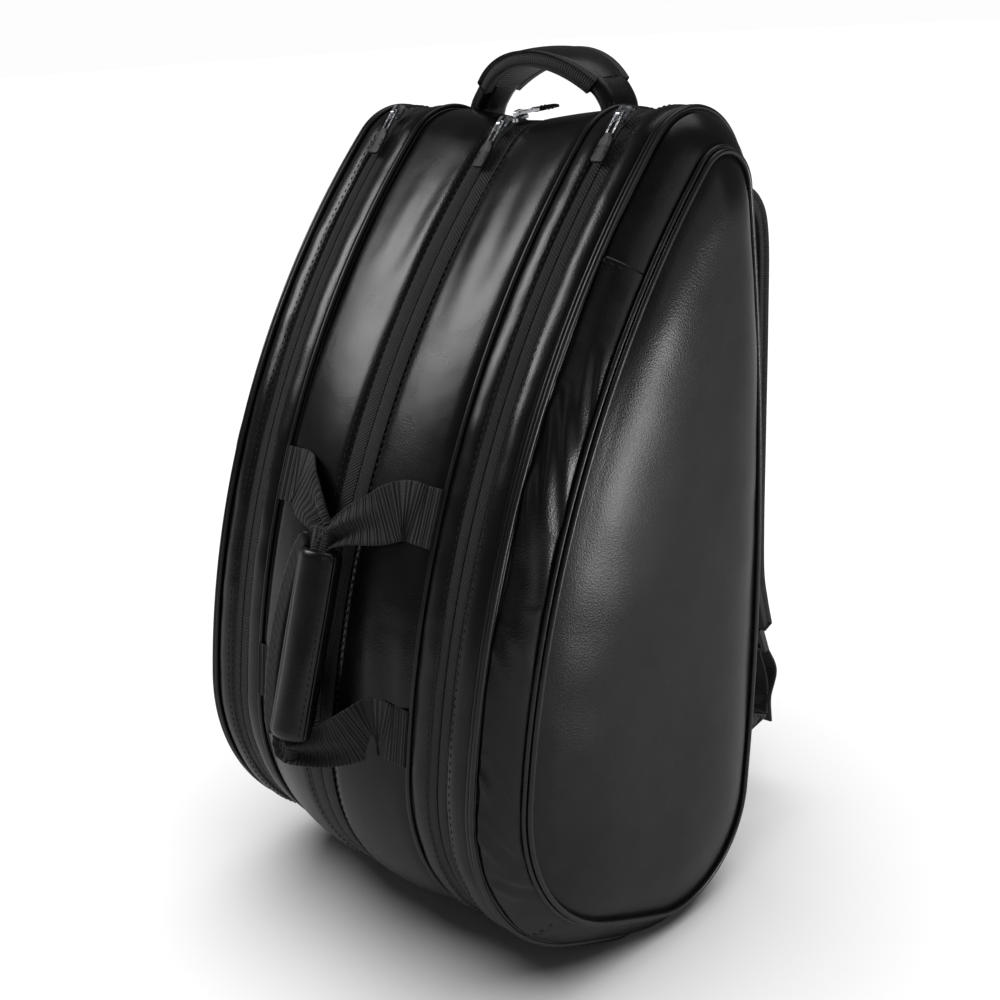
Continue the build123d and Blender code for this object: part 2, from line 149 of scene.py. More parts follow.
def u_near(y, z):
    """The share of the way round at the profile's nearest point to (y, z)."""
    us = np.linspace(0, 1, 4001)
    yz, _normals = profile(us)
    return float(us[np.argmin(np.hypot(yz[:, 0] - y, yz[:, 1] - z))])


def on_bag(x, u, offset=0.0, crown=0.0):
    """A point on the bag's wall, and the wall's outward normal there."""
    (y, z), (ny, nz) = profile(u, offset, crown)
    return np.array([x, y, z]), np.array([0.0, ny, nz])


def seam_crown(xs):
    """How far the centre swells at each station: all the way at the zip, none at the seams."""
    t = np.clip((np.abs(xs) - CENTRE_TAPE) / (SEAM_X - CENTRE_TAPE), 0, 1)
    return 1 - t**1.6


BACK_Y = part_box("back_panel")[0][1]
U_BACK_TOP = u_near(BACK_Y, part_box("back_panel")[1][2])
U_BACK_LOW = u_near(BACK_Y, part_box("back_panel")[0][2])
U_FOOT_FRONT = u_near(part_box("base_panel")[0][1], 0)
U_FOOT_BACK = u_near(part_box("base_panel")[1][1], 0)
U_HINGE_LOW = u_near(HINGE_Y, HINGE_Z[0])
U_HINGE_TOP = u_near(HINGE_Y, HINGE_Z[1])
BAND_FRONT_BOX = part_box("right_side_band_front")
U_BAND_TOP = u_near(-0.045, BAND_FRONT_BOX[1][2])
U_BAND_LOW = u_near(-0.13, BAND_FRONT_BOX[0][2])
ZIP_SPAN = (U_HINGE_TOP - 1, U_HINGE_LOW)
CENTRE_SPAN = (U_BACK_TOP - 1, U_FOOT_FRONT)
REAR_FOOT_SPAN = (U_FOOT_BACK, U_BACK_LOW)


# ---- mesh helpers
def add(name, data):
    """A new object in the scene."""
    made = bpy.data.objects.new(name, data)
    bpy.context.scene.collection.objects.link(made)
    return made


def build(name, verts, faces, material, uvs=None):
    """A smooth-shaded mesh object from arrays; uvs is one (u, v) per vertex."""
    mesh = bpy.data.meshes.new(name)
    mesh.from_pydata(np.asarray(verts, float).tolist(), [], faces)
    if uvs is not None:
        layer = mesh.uv_layers.new(name="UVMap")
        loops = np.empty(len(mesh.loops), dtype=np.int32)
        mesh.loops.foreach_get("vertex_index", loops)
        layer.data.foreach_set("uv", np.asarray(uvs, float)[loops].ravel())
    mesh.materials.append(material)
    mesh.shade_smooth()
    mesh.validate()
    piece = add(name, mesh)
    work = bmesh.new()
    work.from_mesh(mesh)
    bmesh.ops.remove_doubles(work, verts=work.verts, dist=2e-6)
    bmesh.ops.recalc_face_normals(work, faces=work.faces)
    work.to_mesh(mesh)
    work.free()
    return piece


def put(piece, body, replaced=(), between=None):
    """Rides a piece on its body, or, when between is given, bakes its place into its mesh and leaves it on no
    body.

    It also hides the CAD nodes that the piece stands for.
    """
    if between is None:
        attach(piece, body)
    else:
        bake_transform(piece)
    if replaced:
        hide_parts(*replaced)


def grid_faces(rows, columns, wrap_rows, wrap_columns, start=0):
    """Quads over a grid of vertices stored row by row."""
    faces = []
    for i in range(rows if wrap_rows else rows - 1):
        a, b = start + i * columns, start + ((i + 1) % rows) * columns
        for j in range(columns if wrap_columns else columns - 1):
            k = (j + 1) % columns
            faces.append((a + j, a + k, b + k, b + j))
    return faces


def tube_faces(rows, columns, closed):
    """Faces of a closed section carried over rows of vertices, capped at both ends unless closed."""
    faces = grid_faces(rows, columns, closed, True)
    if not closed:
        faces.append(tuple(reversed(range(columns))))
        faces.append(tuple(range((rows - 1) * columns, rows * columns)))
    return faces


def ripple(points, scale, seed):
    """Smooth noise from about -1 to 1 at each point, with features of that size in metres."""
    shift = Vector((seed * 7.3, seed * 3.1, seed * 1.7))
    values = [noise.noise(Vector(p) / scale + shift) for p in points.reshape(-1, 3)]
    return np.array(values).reshape(points.shape[:-1])


def rising(values, start, length):
    """0 before start, 1 once that length past it, and a straight rise between."""
    return np.clip((values - start) / length, 0, 1)


def front_u(z):
    """The share of the way round where the front passes a height."""
    us = np.linspace(0, U_FOOT_FRONT, 3001)
    yz, _normals = profile(us)
    return float(us[np.argmin(np.abs(yz[:, 1] - z))])


def creased(points, creases, slope=0.0):
    """Height of a set of creases in the front, each a valley with a soft ridge beside it.

    A crease is (x0, z0, x1, z1, width, depth): its two ends, by station and height. slope is
    how fast the wall falls away beyond the widest ring.
    """
    height = np.zeros(points.shape[:-1])
    for x0, z0, x1, z1, width, depth in creases:
        a, _n = on_bag(x0, front_u(z0), -slope * max(0.0, abs(x0) - RIM_X))
        b, _n = on_bag(x1, front_u(z1), -slope * max(0.0, abs(x1) - RIM_X))
        run = b - a
        t = np.clip(((points - a) @ run) / (run @ run), 0, 1)
        away = np.linalg.norm(points - a - t[..., None] * run, axis=-1)
        fade = np.sin(np.pi * np.clip(0.08 + 0.84 * t, 0, 1))
        height += depth * fade * (0.7 * np.exp(-(((away - 1.7 * width) / width) ** 2)))
        height -= depth * fade * np.exp(-((away / width) ** 2))
    return height


class Wall:
    """A padded strip's cross-section: rolled down into its seams, and puffed between them."""

    def __init__(self, x0, x1, offset0=0.0, offset1=0.0, puff=0.0, roll=0.0016, wall=WALL, reach=0.0030):
        self.x0, self.x1, self.offset0, self.offset1 = x0, x1, offset0, offset1
        self.puff, self.roll, self.wall, self.reach = puff, roll, wall, reach

    def height(self, x):
        t = np.clip((np.asarray(x, float) - self.x0) / (self.x1 - self.x0), 0, 1)
        edge = np.minimum(t, 1 - t) * (self.x1 - self.x0) / self.reach
        drop = self.roll * np.clip(1 - edge, 0, 1) ** 2
        return self.offset0 + (self.offset1 - self.offset0) * t + self.puff * np.sin(np.pi * t) - drop

    def section(self, count=22):
        t = (1 - np.cos(np.linspace(0, math.pi, count))) / 2
        xs = self.x0 + (self.x1 - self.x0) * t
        back = np.linspace(0.94, 0.06, INNER_POINTS)
        inner_x = self.x0 + (self.x1 - self.x0) * back
        inner = self.offset0 + (self.offset1 - self.offset0) * back - self.wall
        outer = np.stack([xs, self.height(xs)], 1)
        return np.concatenate([outer, np.stack([inner_x, inner], 1)])


def round_section(x, offset, radius, count=12):
    """A round section, such as a piping's."""
    angles = np.linspace(0, math.tau, count, endpoint=False)
    return np.stack([x + radius * np.cos(angles), offset + radius * np.sin(angles)], 1)


def slab_section(x0, x1, top, bottom, edge=0.0004):
    """A flat strip's section, with eased edges."""
    return np.array([
        (x0, top - edge), (x0 + edge, top), ((x0 + x1) / 2, top), (x1 - edge, top), (x1, top - edge),
        (x1, bottom + edge), (x1 - edge, bottom), (x0 + edge, bottom), (x0, bottom + edge),
    ])


def sweep(name, section, material, span=(0.0, 1.0), crown=None, wrinkle=None, side=1, steps=None):
    """A solid strip: a closed section of (x, offset) points carried round the side profile.

    wrinkle(points) gives how far the outside moves at points in space; the inside stays.
    """
    section = np.asarray(section, float)
    closed = span[1] - span[0] >= 1.0
    count = steps or max(24, int(ROUND_STEPS * (span[1] - span[0])))
    us = np.linspace(span[0], span[1], count, endpoint=not closed)
    grid_u, xs = np.meshgrid(us, section[:, 0], indexing="ij")
    offsets = np.broadcast_to(section[:, 1], grid_u.shape).copy()
    crowns = np.zeros_like(grid_u) if crown is None else crown(xs)
    yz, _normals = profile(grid_u, offsets, crowns)
    if wrinkle is not None:
        columns = np.arange(len(section) - INNER_POINTS)
        seats = np.stack([side * xs, yz[..., 0], yz[..., 1]], -1)
        offsets[:, columns] += wrinkle(seats[:, columns])
        yz, _normals = profile(grid_u, offsets, crowns)
    verts = np.stack([side * xs, yz[..., 0], np.maximum(yz[..., 1], 0.0)], -1)
    along = np.concatenate([[0.0], np.cumsum(np.linalg.norm(np.diff(section, axis=0), axis=1))])
    uvs = np.stack([grid_u * PERIMETER, np.broadcast_to(along, grid_u.shape)], -1)
    faces = tube_faces(count, len(section), closed)
    return build(name, verts.reshape(-1, 3), faces, material, uvs.reshape(-1, 2))


def smooth_path(points, count):
    """Points on a Catmull-Rom curve through the given points."""
    p = np.asarray(points, float)
    p = np.vstack([2 * p[0] - p[1], p, 2 * p[-1] - p[-2]])
    spans = len(p) - 3
    ts = np.linspace(0, spans, count)
    i = np.minimum(ts.astype(int), spans - 1)
    t = (ts - i)[:, None]
    a, b, c, d = p[i], p[i + 1], p[i + 2], p[i + 3]
    return 0.5 * (2 * b + (c - a) * t + (2 * a - 5 * b + 4 * c - d) * t**2 + (3 * b - a - 3 * c + d) * t**3)


def unit(v):
    v = np.asarray(v, float)
    return v / np.linalg.norm(v, axis=-1, keepdims=True)


def path_axes(path, across):
    """Tangent, across and out directions at each point of a path."""
    tangent = unit(np.gradient(path, axis=0))
    across = np.broadcast_to(np.asarray(across, float), path.shape)
    across = unit(across - (across * tangent).sum(1, keepdims=True) * tangent)
    return tangent, across, np.cross(tangent, across)


def lengths_along(path):
    return np.concatenate([[0.0], np.cumsum(np.linalg.norm(np.diff(path, axis=0), axis=1))])


def ribbon(name, path, across, section, material, width_scale=None, relief=None, fold=None):
    """A strap: a closed section of (across, out) points carried along a path.

    across gives the direction of the strap's width. At s along and a across, in metres,
    relief(s, a) thickens both faces and fold(s, a) shifts the strap bodily outward.
    """
    path = np.asarray(path, float)
    _tangent, across, out = path_axes(path, across)
    section = np.asarray(section, float)
    scale = np.ones(len(path)) if width_scale is None else np.asarray(width_scale, float)
    s = lengths_along(path)
    a = section[None, :, 0] * scale[:, None]
    o = np.broadcast_to(section[None, :, 1], a.shape).copy()
    if relief is not None:
        o = o + np.sign(o) * relief(s[:, None], section[None, :, 0])
    if fold is not None:
        o = o + fold(s[:, None], section[None, :, 0])
    verts = path[:, None] + across[:, None] * a[..., None] + out[:, None] * o[..., None]
    length = lengths_along(section)
    uvs = np.stack([np.broadcast_to(s[:, None], a.shape), np.broadcast_to(length, a.shape)], -1)
    faces = tube_faces(len(path), len(section), False)
    return build(name, verts.reshape(-1, 3), faces, material, uvs.reshape(-1, 2))


def strap_section(width, thickness, count=14):
    """A strap's section, with round edges: its outside first."""
    half, rise = width / 2, thickness / 2
    xs = np.linspace(-half + rise, half - rise, count)
    turn = np.linspace(math.pi / 2, -math.pi / 2, 6)[1:-1]
    right = np.stack([half - rise + rise * np.cos(turn), rise * np.sin(turn)], 1)
    left = np.stack([-half + rise - rise * np.cos(turn), -rise * np.sin(turn)], 1)
    top = np.stack([xs, np.full(count, rise)], 1)
    bottom = np.stack([xs[::-1], np.full(count, -rise)], 1)
    return np.concatenate([top, right, bottom, left])


def thread(name, seats, directions, outs, material, length=0.0033, radius=0.00036):
    """A row of stitches: one small spindle at each seat, along its direction."""
    rings, sides = 5, 6
    seats, directions, outs = (np.asarray(v, float) for v in (seats, directions, outs))
    acrosses = np.cross(directions, outs)
    k = np.linspace(-1, 1, rings)
    size = radius * np.sqrt(np.maximum(0.12, 1 - k * k))
    rise = radius * (0.5 - k * k)
    angles = np.linspace(0, math.tau, sides, endpoint=False)
    spine = seats[:, None] + directions[:, None] * (k * length / 2)[:, None] + outs[:, None] * rise[:, None]
    turn = (
        acrosses[:, None, None] * (size[:, None] * np.cos(angles))[..., None]
        + outs[:, None, None] * (size[:, None] * np.sin(angles))[..., None]
    )
    verts = (spine[:, :, None] + turn).reshape(-1, 3)
    one = tube_faces(rings, sides, False)
    faces = [tuple(start + i for i in face) for start in range(0, len(verts), rings * sides) for face in one]
    return build(name, verts, faces, material)


def wall_thread(name, x, wall, material, side=1, span=(0.0, 1.0), wrinkle=None, crown=0.0):
    """Stitches that follow the side profile at one station of a wall."""
    count = int((span[1] - span[0]) * PERIMETER / STITCH)
    us = np.linspace(span[0], span[1], count, endpoint=False)
    rise = np.full(count, float(wall.height(x)))
    yz, normals = profile(us, rise, crown)
    if wrinkle is not None:
        rise += wrinkle(np.column_stack([np.full(count, side * x), yz]))
        yz, normals = profile(us, rise, crown)
    off_the_ground = 0.004
    keep = yz[:, 1] > off_the_ground
    yz, normals = yz[keep], normals[keep]
    nought = np.zeros(len(yz))
    seats = np.column_stack([nought + side * x, yz])
    outs = np.column_stack([nought, normals])
    directions = np.column_stack([nought, -normals[:, 1], normals[:, 0]])
    return thread(name, seats, directions, outs, material)


def join(name, pieces):
    """One object from several of the same material."""
    mesh = bpy.data.meshes.new(name)
    mesh.materials.append(pieces[0].data.materials[0])
    work = bmesh.new()
    for piece in pieces:
        work.from_mesh(piece.data)
        bpy.data.objects.remove(piece)
    work.to_mesh(mesh)
    work.free()
    return add(name, mesh)


# ---- materials
class Look:
    """A Principled material, with short calls for the procedural nodes that feed it."""

    def __init__(self, name, colour, roughness, **sockets):
        self.material = bpy.data.materials.new(name)
        self.material.use_nodes = True
        self.tree = self.material.node_tree
        self.shader = self.tree.nodes["Principled BSDF"]
        self.colour = (*colour, 1.0)
        self.shader.inputs["Base Color"].default_value = self.colour
        self.shader.inputs["Roughness"].default_value = roughness
        for socket, value in sockets.items():
            self.shader.inputs[socket.replace("_", " ")].default_value = value
        self.place = self.tree.nodes.new("ShaderNodeTexCoord")
        self.last_bump = None

    def node(self, kind, **values):
        made = self.tree.nodes.new(kind)
        for name, value in values.items():
            if name in made.inputs:
                made.inputs[name].default_value = value
            else:
                setattr(made, name, value)
        return made

    def link(self, source, target):
        self.tree.links.new(source, target)

    def noise(self, scale, detail=3.0):
        made = self.node("ShaderNodeTexNoise", Scale=scale, Detail=detail)
        self.link(self.place.outputs["Object"], made.inputs["Vector"])
        return made.outputs["Fac"]

    def cells(self, scale, space="Object", randomness=1.0):
        made = self.node("ShaderNodeTexVoronoi", Scale=scale, Randomness=randomness)
        self.link(self.place.outputs[space], made.inputs["Vector"])
        return made.outputs["Distance"]

    def bands(self, pitch, angle):
        """Ridges at that pitch in metres, running across UV's first axis turned by angle."""
        turned = self.node("ShaderNodeMapping")
        turned.inputs["Rotation"].default_value = (0.0, 0.0, angle)
        self.link(self.place.outputs["UV"], turned.inputs["Vector"])
        made = self.node("ShaderNodeTexWave", Scale=math.tau / (20 * pitch))
        self.link(turned.outputs["Vector"], made.inputs["Vector"])
        return made.outputs["Fac"]

    def ramp(self, fac, low, high, start=0.0, end=1.0):
        """Turns a pattern's start to end into low to high, which are numbers."""
        made = self.node("ShaderNodeMapRange")
        for socket, value in (("From Min", start), ("From Max", end), ("To Min", low), ("To Max", high)):
            made.inputs[socket].default_value = value
        self.link(fac, made.inputs["Value"])
        return made.outputs["Result"]

    def times(self, first, second):
        made = self.node("ShaderNodeMath", operation="MULTIPLY")
        self.link(first, made.inputs[0])
        self.link(second, made.inputs[1])
        return made.outputs["Value"]

    def tint(self, fac, other):
        """Mixes the base colour with another by a pattern."""
        made = self.node("ShaderNodeMix", data_type="RGBA")
        made.inputs["A"].default_value = self.colour
        made.inputs["B"].default_value = (*other, 1.0)
        self.link(fac, made.inputs["Factor"])
        self.link(made.outputs["Result"], self.shader.inputs["Base Color"])

    def rough(self, value):
        self.link(value, self.shader.inputs["Roughness"])

    def bump(self, height, strength, distance):
        made = self.node("ShaderNodeBump", Strength=strength, Distance=distance)
        self.link(height, made.inputs["Height"])
        if self.last_bump is not None:
            self.link(self.last_bump, made.inputs["Normal"])
        self.last_bump = made.outputs["Normal"]
        self.link(self.last_bump, self.shader.inputs["Normal"])


def leather(name, colour, low, high, grain=0.30, wave=0.5, **sockets):
    """Coated leather-look fabric: a fine pebble grain over a slow unevenness, with worn patches."""
    look = Look(name, colour, (low + high) / 2, **sockets)
    patches = look.noise(18, 4)
    look.rough(look.ramp(patches, low, high, 0.32, 0.68))
    look.tint(look.ramp(look.noise(55, 5), 0.0, 1.0, 0.35, 0.75), [c * 1.5 + 0.002 for c in colour])
    look.bump(look.noise(24, 2), wave, 0.0010)
    look.bump(look.cells(900), grain, 0.00022)
    look.bump(look.noise(2600, 2), grain * 0.6, 0.00012)
    return look.material


def woven(name, colour, pitch, angle=0.0, depth=0.00035, roughness=0.8, **sockets):
    """Woven tape or webbing: ribs at that pitch, crossed by finer threads."""
    look = Look(name, colour, roughness, **sockets)
    ribs = look.bands(pitch, angle)
    threads = look.bands(pitch * 0.55, angle + math.pi / 2)
    fuzz = look.noise(1500, 3)
    look.tint(look.ramp(look.times(ribs, fuzz), 0.0, 1.0, 0.1, 0.6), [c * 2.2 + 0.004 for c in colour])
    look.bump(ribs, 0.8, depth)
    look.bump(threads, 0.5, depth * 0.6)
    look.bump(fuzz, 0.4, 0.00015)
    return look.material


def open_mesh(name, colour):
    """Spacer mesh: rows of small holes in a knitted face, with painted shade darkening each hole."""
    look = Look(name, colour, 0.75, Sheen_Weight=0.25, Sheen_Roughness=0.5)
    holes = look.cells(300, "UV", 0.12)
    # painted shade: the colour darkens towards the middle of each hole, as if shadowed inside it
    look.tint(look.ramp(holes, 1.0, 0.0, 0.15, 0.55), [c * 0.15 for c in colour])
    look.bump(holes, 1.0, 0.0011)
    look.bump(look.noise(1400, 2), 0.4, 0.0002)
    return look.material


def metal(name, colour, roughness):
    """Plated die-cast metal, with faint casting ripples and rubbed patches."""
    look = Look(name, colour, roughness, Metallic=1.0)
    look.rough(look.ramp(look.noise(350, 3), roughness * 0.7, roughness * 1.7, 0.3, 0.7))
    look.tint(look.ramp(look.noise(600, 3), 0.0, 0.6, 0.4, 0.8), [c * 0.7 for c in colour])
    look.bump(look.noise(420, 2), 0.15, 0.0002)
    return look.material


def plain_grain(name, colour, roughness, scale, **sockets):
    """Moulded plastic, board or felt: one fine grain and a little mottling."""
    look = Look(name, colour, roughness, **sockets)
    look.rough(look.ramp(look.noise(scale / 6, 3), roughness * 0.85, min(1, roughness * 1.15), 0.3, 0.7))
    look.tint(look.ramp(look.noise(scale / 3, 4), 0.0, 0.8, 0.35, 0.75), [c * 1.6 + 0.003 for c in colour])
    look.bump(look.noise(scale, 3), 0.5, 0.0003)
    return look.material


COATED = leather("coated_fabric", (0.0042, 0.0043, 0.0044), 0.21, 0.30, wave=0.6, Specular_IOR_Level=0.38)
PANEL = leather(
    "panel_fabric", (0.0055, 0.0055, 0.0053), 0.27, 0.34, grain=0.35, wave=0.3, Specular_IOR_Level=0.32
)
PIPING = leather("piping", (0.0055, 0.0056, 0.0058), 0.26, 0.36, grain=0.2, wave=0.3)
GRIP = leather("grip_leather", (0.0045, 0.0045, 0.0046), 0.24, 0.34, grain=0.2, wave=0.5)
TAB = leather("pull_leather", (0.0055, 0.0055, 0.0055), 0.42, 0.55)
TAPE = woven("zip_tape", (0.0045, 0.0045, 0.0046), 0.0019, math.radians(35), 0.0006, 0.55)
COIL = plain_grain("zip_coil", (0.008, 0.008, 0.008), 0.35, 900)
WEB = woven("webbing", (0.0050, 0.0050, 0.0050), 0.0017, 0.0, 0.0005, 0.62, Sheen_Weight=0.15)
MESH = open_mesh("mesh_fabric", (0.0055, 0.0055, 0.0058))
FLEECE = plain_grain("tongue_fleece", (0.006, 0.006, 0.006), 0.95, 1300, Sheen_Weight=0.3)
BOARD = plain_grain("board", (0.020, 0.020, 0.021), 0.75, 500)
LINING = woven("divider_fabric", (0.016, 0.016, 0.017), 0.0009, 0.4, 0.0002, 0.85)
BUCKLE = plain_grain("buckle", (0.012, 0.012, 0.013), 0.32, 700)
METAL = metal("zip_metal", (0.78, 0.79, 0.82), 0.16)
THREAD = plain_grain("thread", (0.005, 0.005, 0.005), 0.5, 1600)


# ---- centre compartment
def centre_wrinkle(points):
    creases = [
        (0.024, 0.530, 0.030, 0.440, 0.0080, 0.0005), (0.046, 0.535, 0.050, 0.450, 0.0090, 0.0006),
        (-0.030, 0.530, -0.036, 0.460, 0.0080, 0.0007), (0.056, 0.260, 0.068, 0.170, 0.0090, 0.0012),
        (-0.045, 0.250, -0.064, 0.180, 0.0090, 0.0010),
    ]
    return 0.0011 * ripple(points, 0.095, 1) + 0.0002 * ripple(points, 0.034, 2) + creased(points, creases)


def centre_compartment():
    gusset = Wall(CENTRE_TAPE - 0.0006, SEAM_X - 0.0012, puff=0.0018, roll=0.0030, reach=0.0100)
    for side, sign in SIDES.items():
        parts = [
            sweep(f"{side}_gusset_{n}", gusset.section(30), COATED, span, seam_crown, centre_wrinkle, sign)
            for n, span in enumerate((CENTRE_SPAN, REAR_FOOT_SPAN))
        ]
        put(join(f"{side}_gusset_shell", parts), "bag", [f"{side}_centre_gusset"])
        for n, x in enumerate((CENTRE_TAPE + 0.0016, CENTRE_TAPE + 0.0048)):
            line = wall_thread(
                f"{side}_gusset_stitches_{n}", x, gusset, THREAD, sign, CENTRE_SPAN, centre_wrinkle,
                float(seam_crown(x)),
            )
            put(line, "bag")
        bead = round_section(SEAM_X, 0.0005, 0.0017)
        flange = slab_section(SEAM_X - 0.0024, SEAM_X + 0.0024, -0.0009, -0.003)
        piping(side, sign, "bag", "seam", [bead, flange])
        tape = slab_section(0.00035, CENTRE_TAPE + 0.0005, -0.0007, -0.0017, 0.0003)
        half = sweep(f"{side}_centre_tape", tape, TAPE, CENTRE_SPAN, lambda xs: np.ones_like(xs), side=sign)
        put(half, "bag", ["centre_zip_tapes"])
    put(zip_coil("centre_coil_rows", 0.0, 1.0, CENTRE_SPAN), "bag", ["centre_zip_coil"])


def piping(side, sign, body, seam, sections):
    """A piping roll round the bag: its beads and the flange under them, as one piece."""
    rings = [sweep(f"{side}_{seam}_{n}", section, PIPING, side=sign) for n, section in enumerate(sections)]
    put(join(f"{side}_{seam}_roll", rings), body, [f"{side}_{seam}_piping"])


def zip_coil(name, x, crown, span, half=0, side=1):
    """The coil's closed teeth under the tapes, as a ribbed cord; half is -1 or 1 for one side of it."""
    pitch, reach = 0.0026, 0.0026
    count = int((span[1] - span[0]) * PERIMETER / (pitch / 2))
    low, high = (-reach, reach) if half == 0 else sorted((half * 0.0004, half * reach))
    angles = np.linspace(0, math.tau, 8, endpoint=False)
    us = np.linspace(span[0], span[1], count)
    swell = 1 + 0.22 * np.cos(us * PERIMETER / pitch * math.tau)[:, None]
    xs = x + (low + high) / 2 + (high - low) / 2 * np.cos(angles)[None] * swell
    yz, _normals = profile(us[:, None], -0.0026 + 0.0008 * np.sin(angles)[None] * swell, crown)
    verts = np.stack([side * xs, yz[..., 0], np.maximum(yz[..., 1], 0.0003)], -1)
    return build(name, verts.reshape(-1, 3), tube_faces(count, 8, False), COIL)


def base_panel():
    """The flat foot: a leather rectangle, rounded up at its edge."""
    low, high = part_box("base_panel")
    nx, ny = 60, 30
    xs, ys = np.meshgrid(np.linspace(low[0], high[0], nx), np.linspace(low[1], high[1], ny), indexing="ij")
    edge = np.minimum(np.minimum(xs - low[0], high[0] - xs), np.minimum(ys - low[1], high[1] - ys))
    uneven = ripple(np.stack([xs, ys, ys * 0], -1), 0.02, 9) + 1
    rise = 0.0012 * np.clip(1 - edge / 0.005, 0, 1) ** 2 + 0.0002 * uneven
    under = np.stack([xs, ys, rise], -1).reshape(-1, 3)
    over = np.stack([xs, ys, np.full_like(xs, high[2])], -1).reshape(-1, 3)
    faces = grid_faces(nx, ny, False, False) + grid_faces(nx, ny, False, False, nx * ny)
    rim = [i * ny for i in range(nx)] + [(nx - 1) * ny + j for j in range(1, ny)]
    rim += [i * ny + ny - 1 for i in range(nx - 2, -1, -1)] + [j for j in range(ny - 2, 0, -1)]
    for a, b in zip(rim, rim[1:] + rim[:1]):
        faces.append((a, b, b + nx * ny, a + nx * ny))
    put(build("base_pad", np.concatenate([under, over]), faces, PANEL), "bag", ["base_panel"])


def back_panel():
    """Padded back: three mesh-faced pads between sewn channels, under a leather yoke."""
    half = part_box("back_panel")[1][0]
    channels = np.array([-half, -0.027, 0.027, half])
    xs = np.linspace(-half, half, 90)
    spot = np.clip(np.searchsorted(channels, xs, side="right") - 1, 0, 2)
    t = (xs - channels[spot]) / (channels[spot + 1] - channels[spot])
    outer = np.stack([xs, BACK_PAD - 0.0012 + 0.0050 * np.sin(np.pi * t) ** 0.6], 1)
    inner = np.stack([np.linspace(half, -half, INNER_POINTS), np.full(INNER_POINTS, -WALL)], 1)
    cross = (0.22, 0.40, 0.58, 0.76)
    foot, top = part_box("back_panel")[0][2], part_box("back_panel")[1][2]

    def channel(points):
        share = (points[..., 2] - foot) / (top - foot)
        dip = sum(np.exp(-(((share - c) / 0.009) ** 2)) for c in cross)
        ends = np.clip(1 - np.minimum(share, 1 - share) / 0.012, 0, 1)
        return -0.0030 * dip - 0.0020 * ends + 0.0007 * ripple(points, 0.04, 5)

    pad = sweep("back_padding", np.concatenate([outer, inner]), MESH, (U_BACK_LOW, U_BACK_TOP), wrinkle=channel)
    put(pad, "bag", ["back_panel"])
    yoke_low, yoke_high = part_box("strap_yoke")
    wall = Wall(yoke_low[0], yoke_high[0], BACK_PAD + 0.0065, BACK_PAD + 0.0065, 0.0006, 0.0012, 0.003)
    span = (u_near(0.105, yoke_low[2]), u_near(0.095, yoke_high[2]))
    put(sweep("yoke_patch", wall.section(), COATED, span, steps=40), "bag", ["strap_yoke"])
    for n, x in enumerate((yoke_low[0] + 0.004, yoke_high[0] - 0.004)):
        put(wall_thread(f"yoke_stitches_{n}", x, wall, THREAD, 1, span), "bag")
    stations = np.arange(yoke_low[0] + 0.008, yoke_high[0] - 0.006, STITCH)
    for n, z in enumerate((yoke_low[2] + 0.004, yoke_high[2] - 0.004)):
        u = u_near(0.10, z)
        seats, outs = zip(*(on_bag(x, u, float(wall.height(x))) for x in stations))
        line = thread(f"yoke_cross_stitches_{n}", seats, [X] * len(seats), outs, THREAD)
        put(line, "bag")


# ---- racket pockets
def band_wrinkle(points):
    return 0.0010 * ripple(points, 0.060, 3) + 0.0004 * ripple(points, 0.018, 4)


def side_wrinkle(points):
    right = np.abs(points) * [1, 0, 0] + points * [0, 1, 1]
    creases = [
        (0.141, 0.415, 0.156, 0.345, 0.0032, 0.0034), (0.142, 0.375, 0.154, 0.300, 0.0034, 0.0034),
        (0.150, 0.440, 0.157, 0.400, 0.0030, 0.0020), (0.142, 0.200, 0.156, 0.165, 0.0036, 0.0028),
        (0.142, 0.160, 0.155, 0.125, 0.0036, 0.0030), (0.143, 0.120, 0.156, 0.095, 0.0034, 0.0024),
        (0.143, 0.280, 0.155, 0.250, 0.0040, 0.0016),
    ]
    swell = 0.0022 * ripple(points, 0.070, 6) + 0.0006 * ripple(points, 0.022, 7)
    return swell + creased(right, creases, BAND_SLOPE)


def pocket_mouth(side, sign):
    """What stays with the bag: the band round the mouth, and its half of the zip."""
    wall = Wall(SEAM_X + 0.0012, TAPE_X0 + 0.0006, puff=0.0014, roll=0.0020)
    shell = sweep(f"{side}_mouth_shell", wall.section(18), COATED, wrinkle=band_wrinkle, side=sign)
    put(shell, "bag", [f"{side}_mouth_band"])
    line = wall_thread(f"{side}_mouth_stitches", TAPE_X0 - 0.0014, wall, THREAD, sign, wrinkle=band_wrinkle)
    put(line, "bag")
    zip_half(side, sign, "bag", "mouth", TAPE_X0 - 0.0005, ZIP_X - 0.0004, -1)


def zip_half(side, sign, body, part, x0, x1, half):
    """One half of a pocket zip: its tape and its coil."""
    tape = slab_section(x0, x1, -0.0008, -0.0018, 0.0003)
    put(sweep(f"{side}_{part}_tape", tape, TAPE, ZIP_SPAN, side=sign), body, [f"{side}_{part}_zip"])
    put(zip_coil(f"{side}_{part}_coil", ZIP_X, 0.0, ZIP_SPAN, half, sign), body)


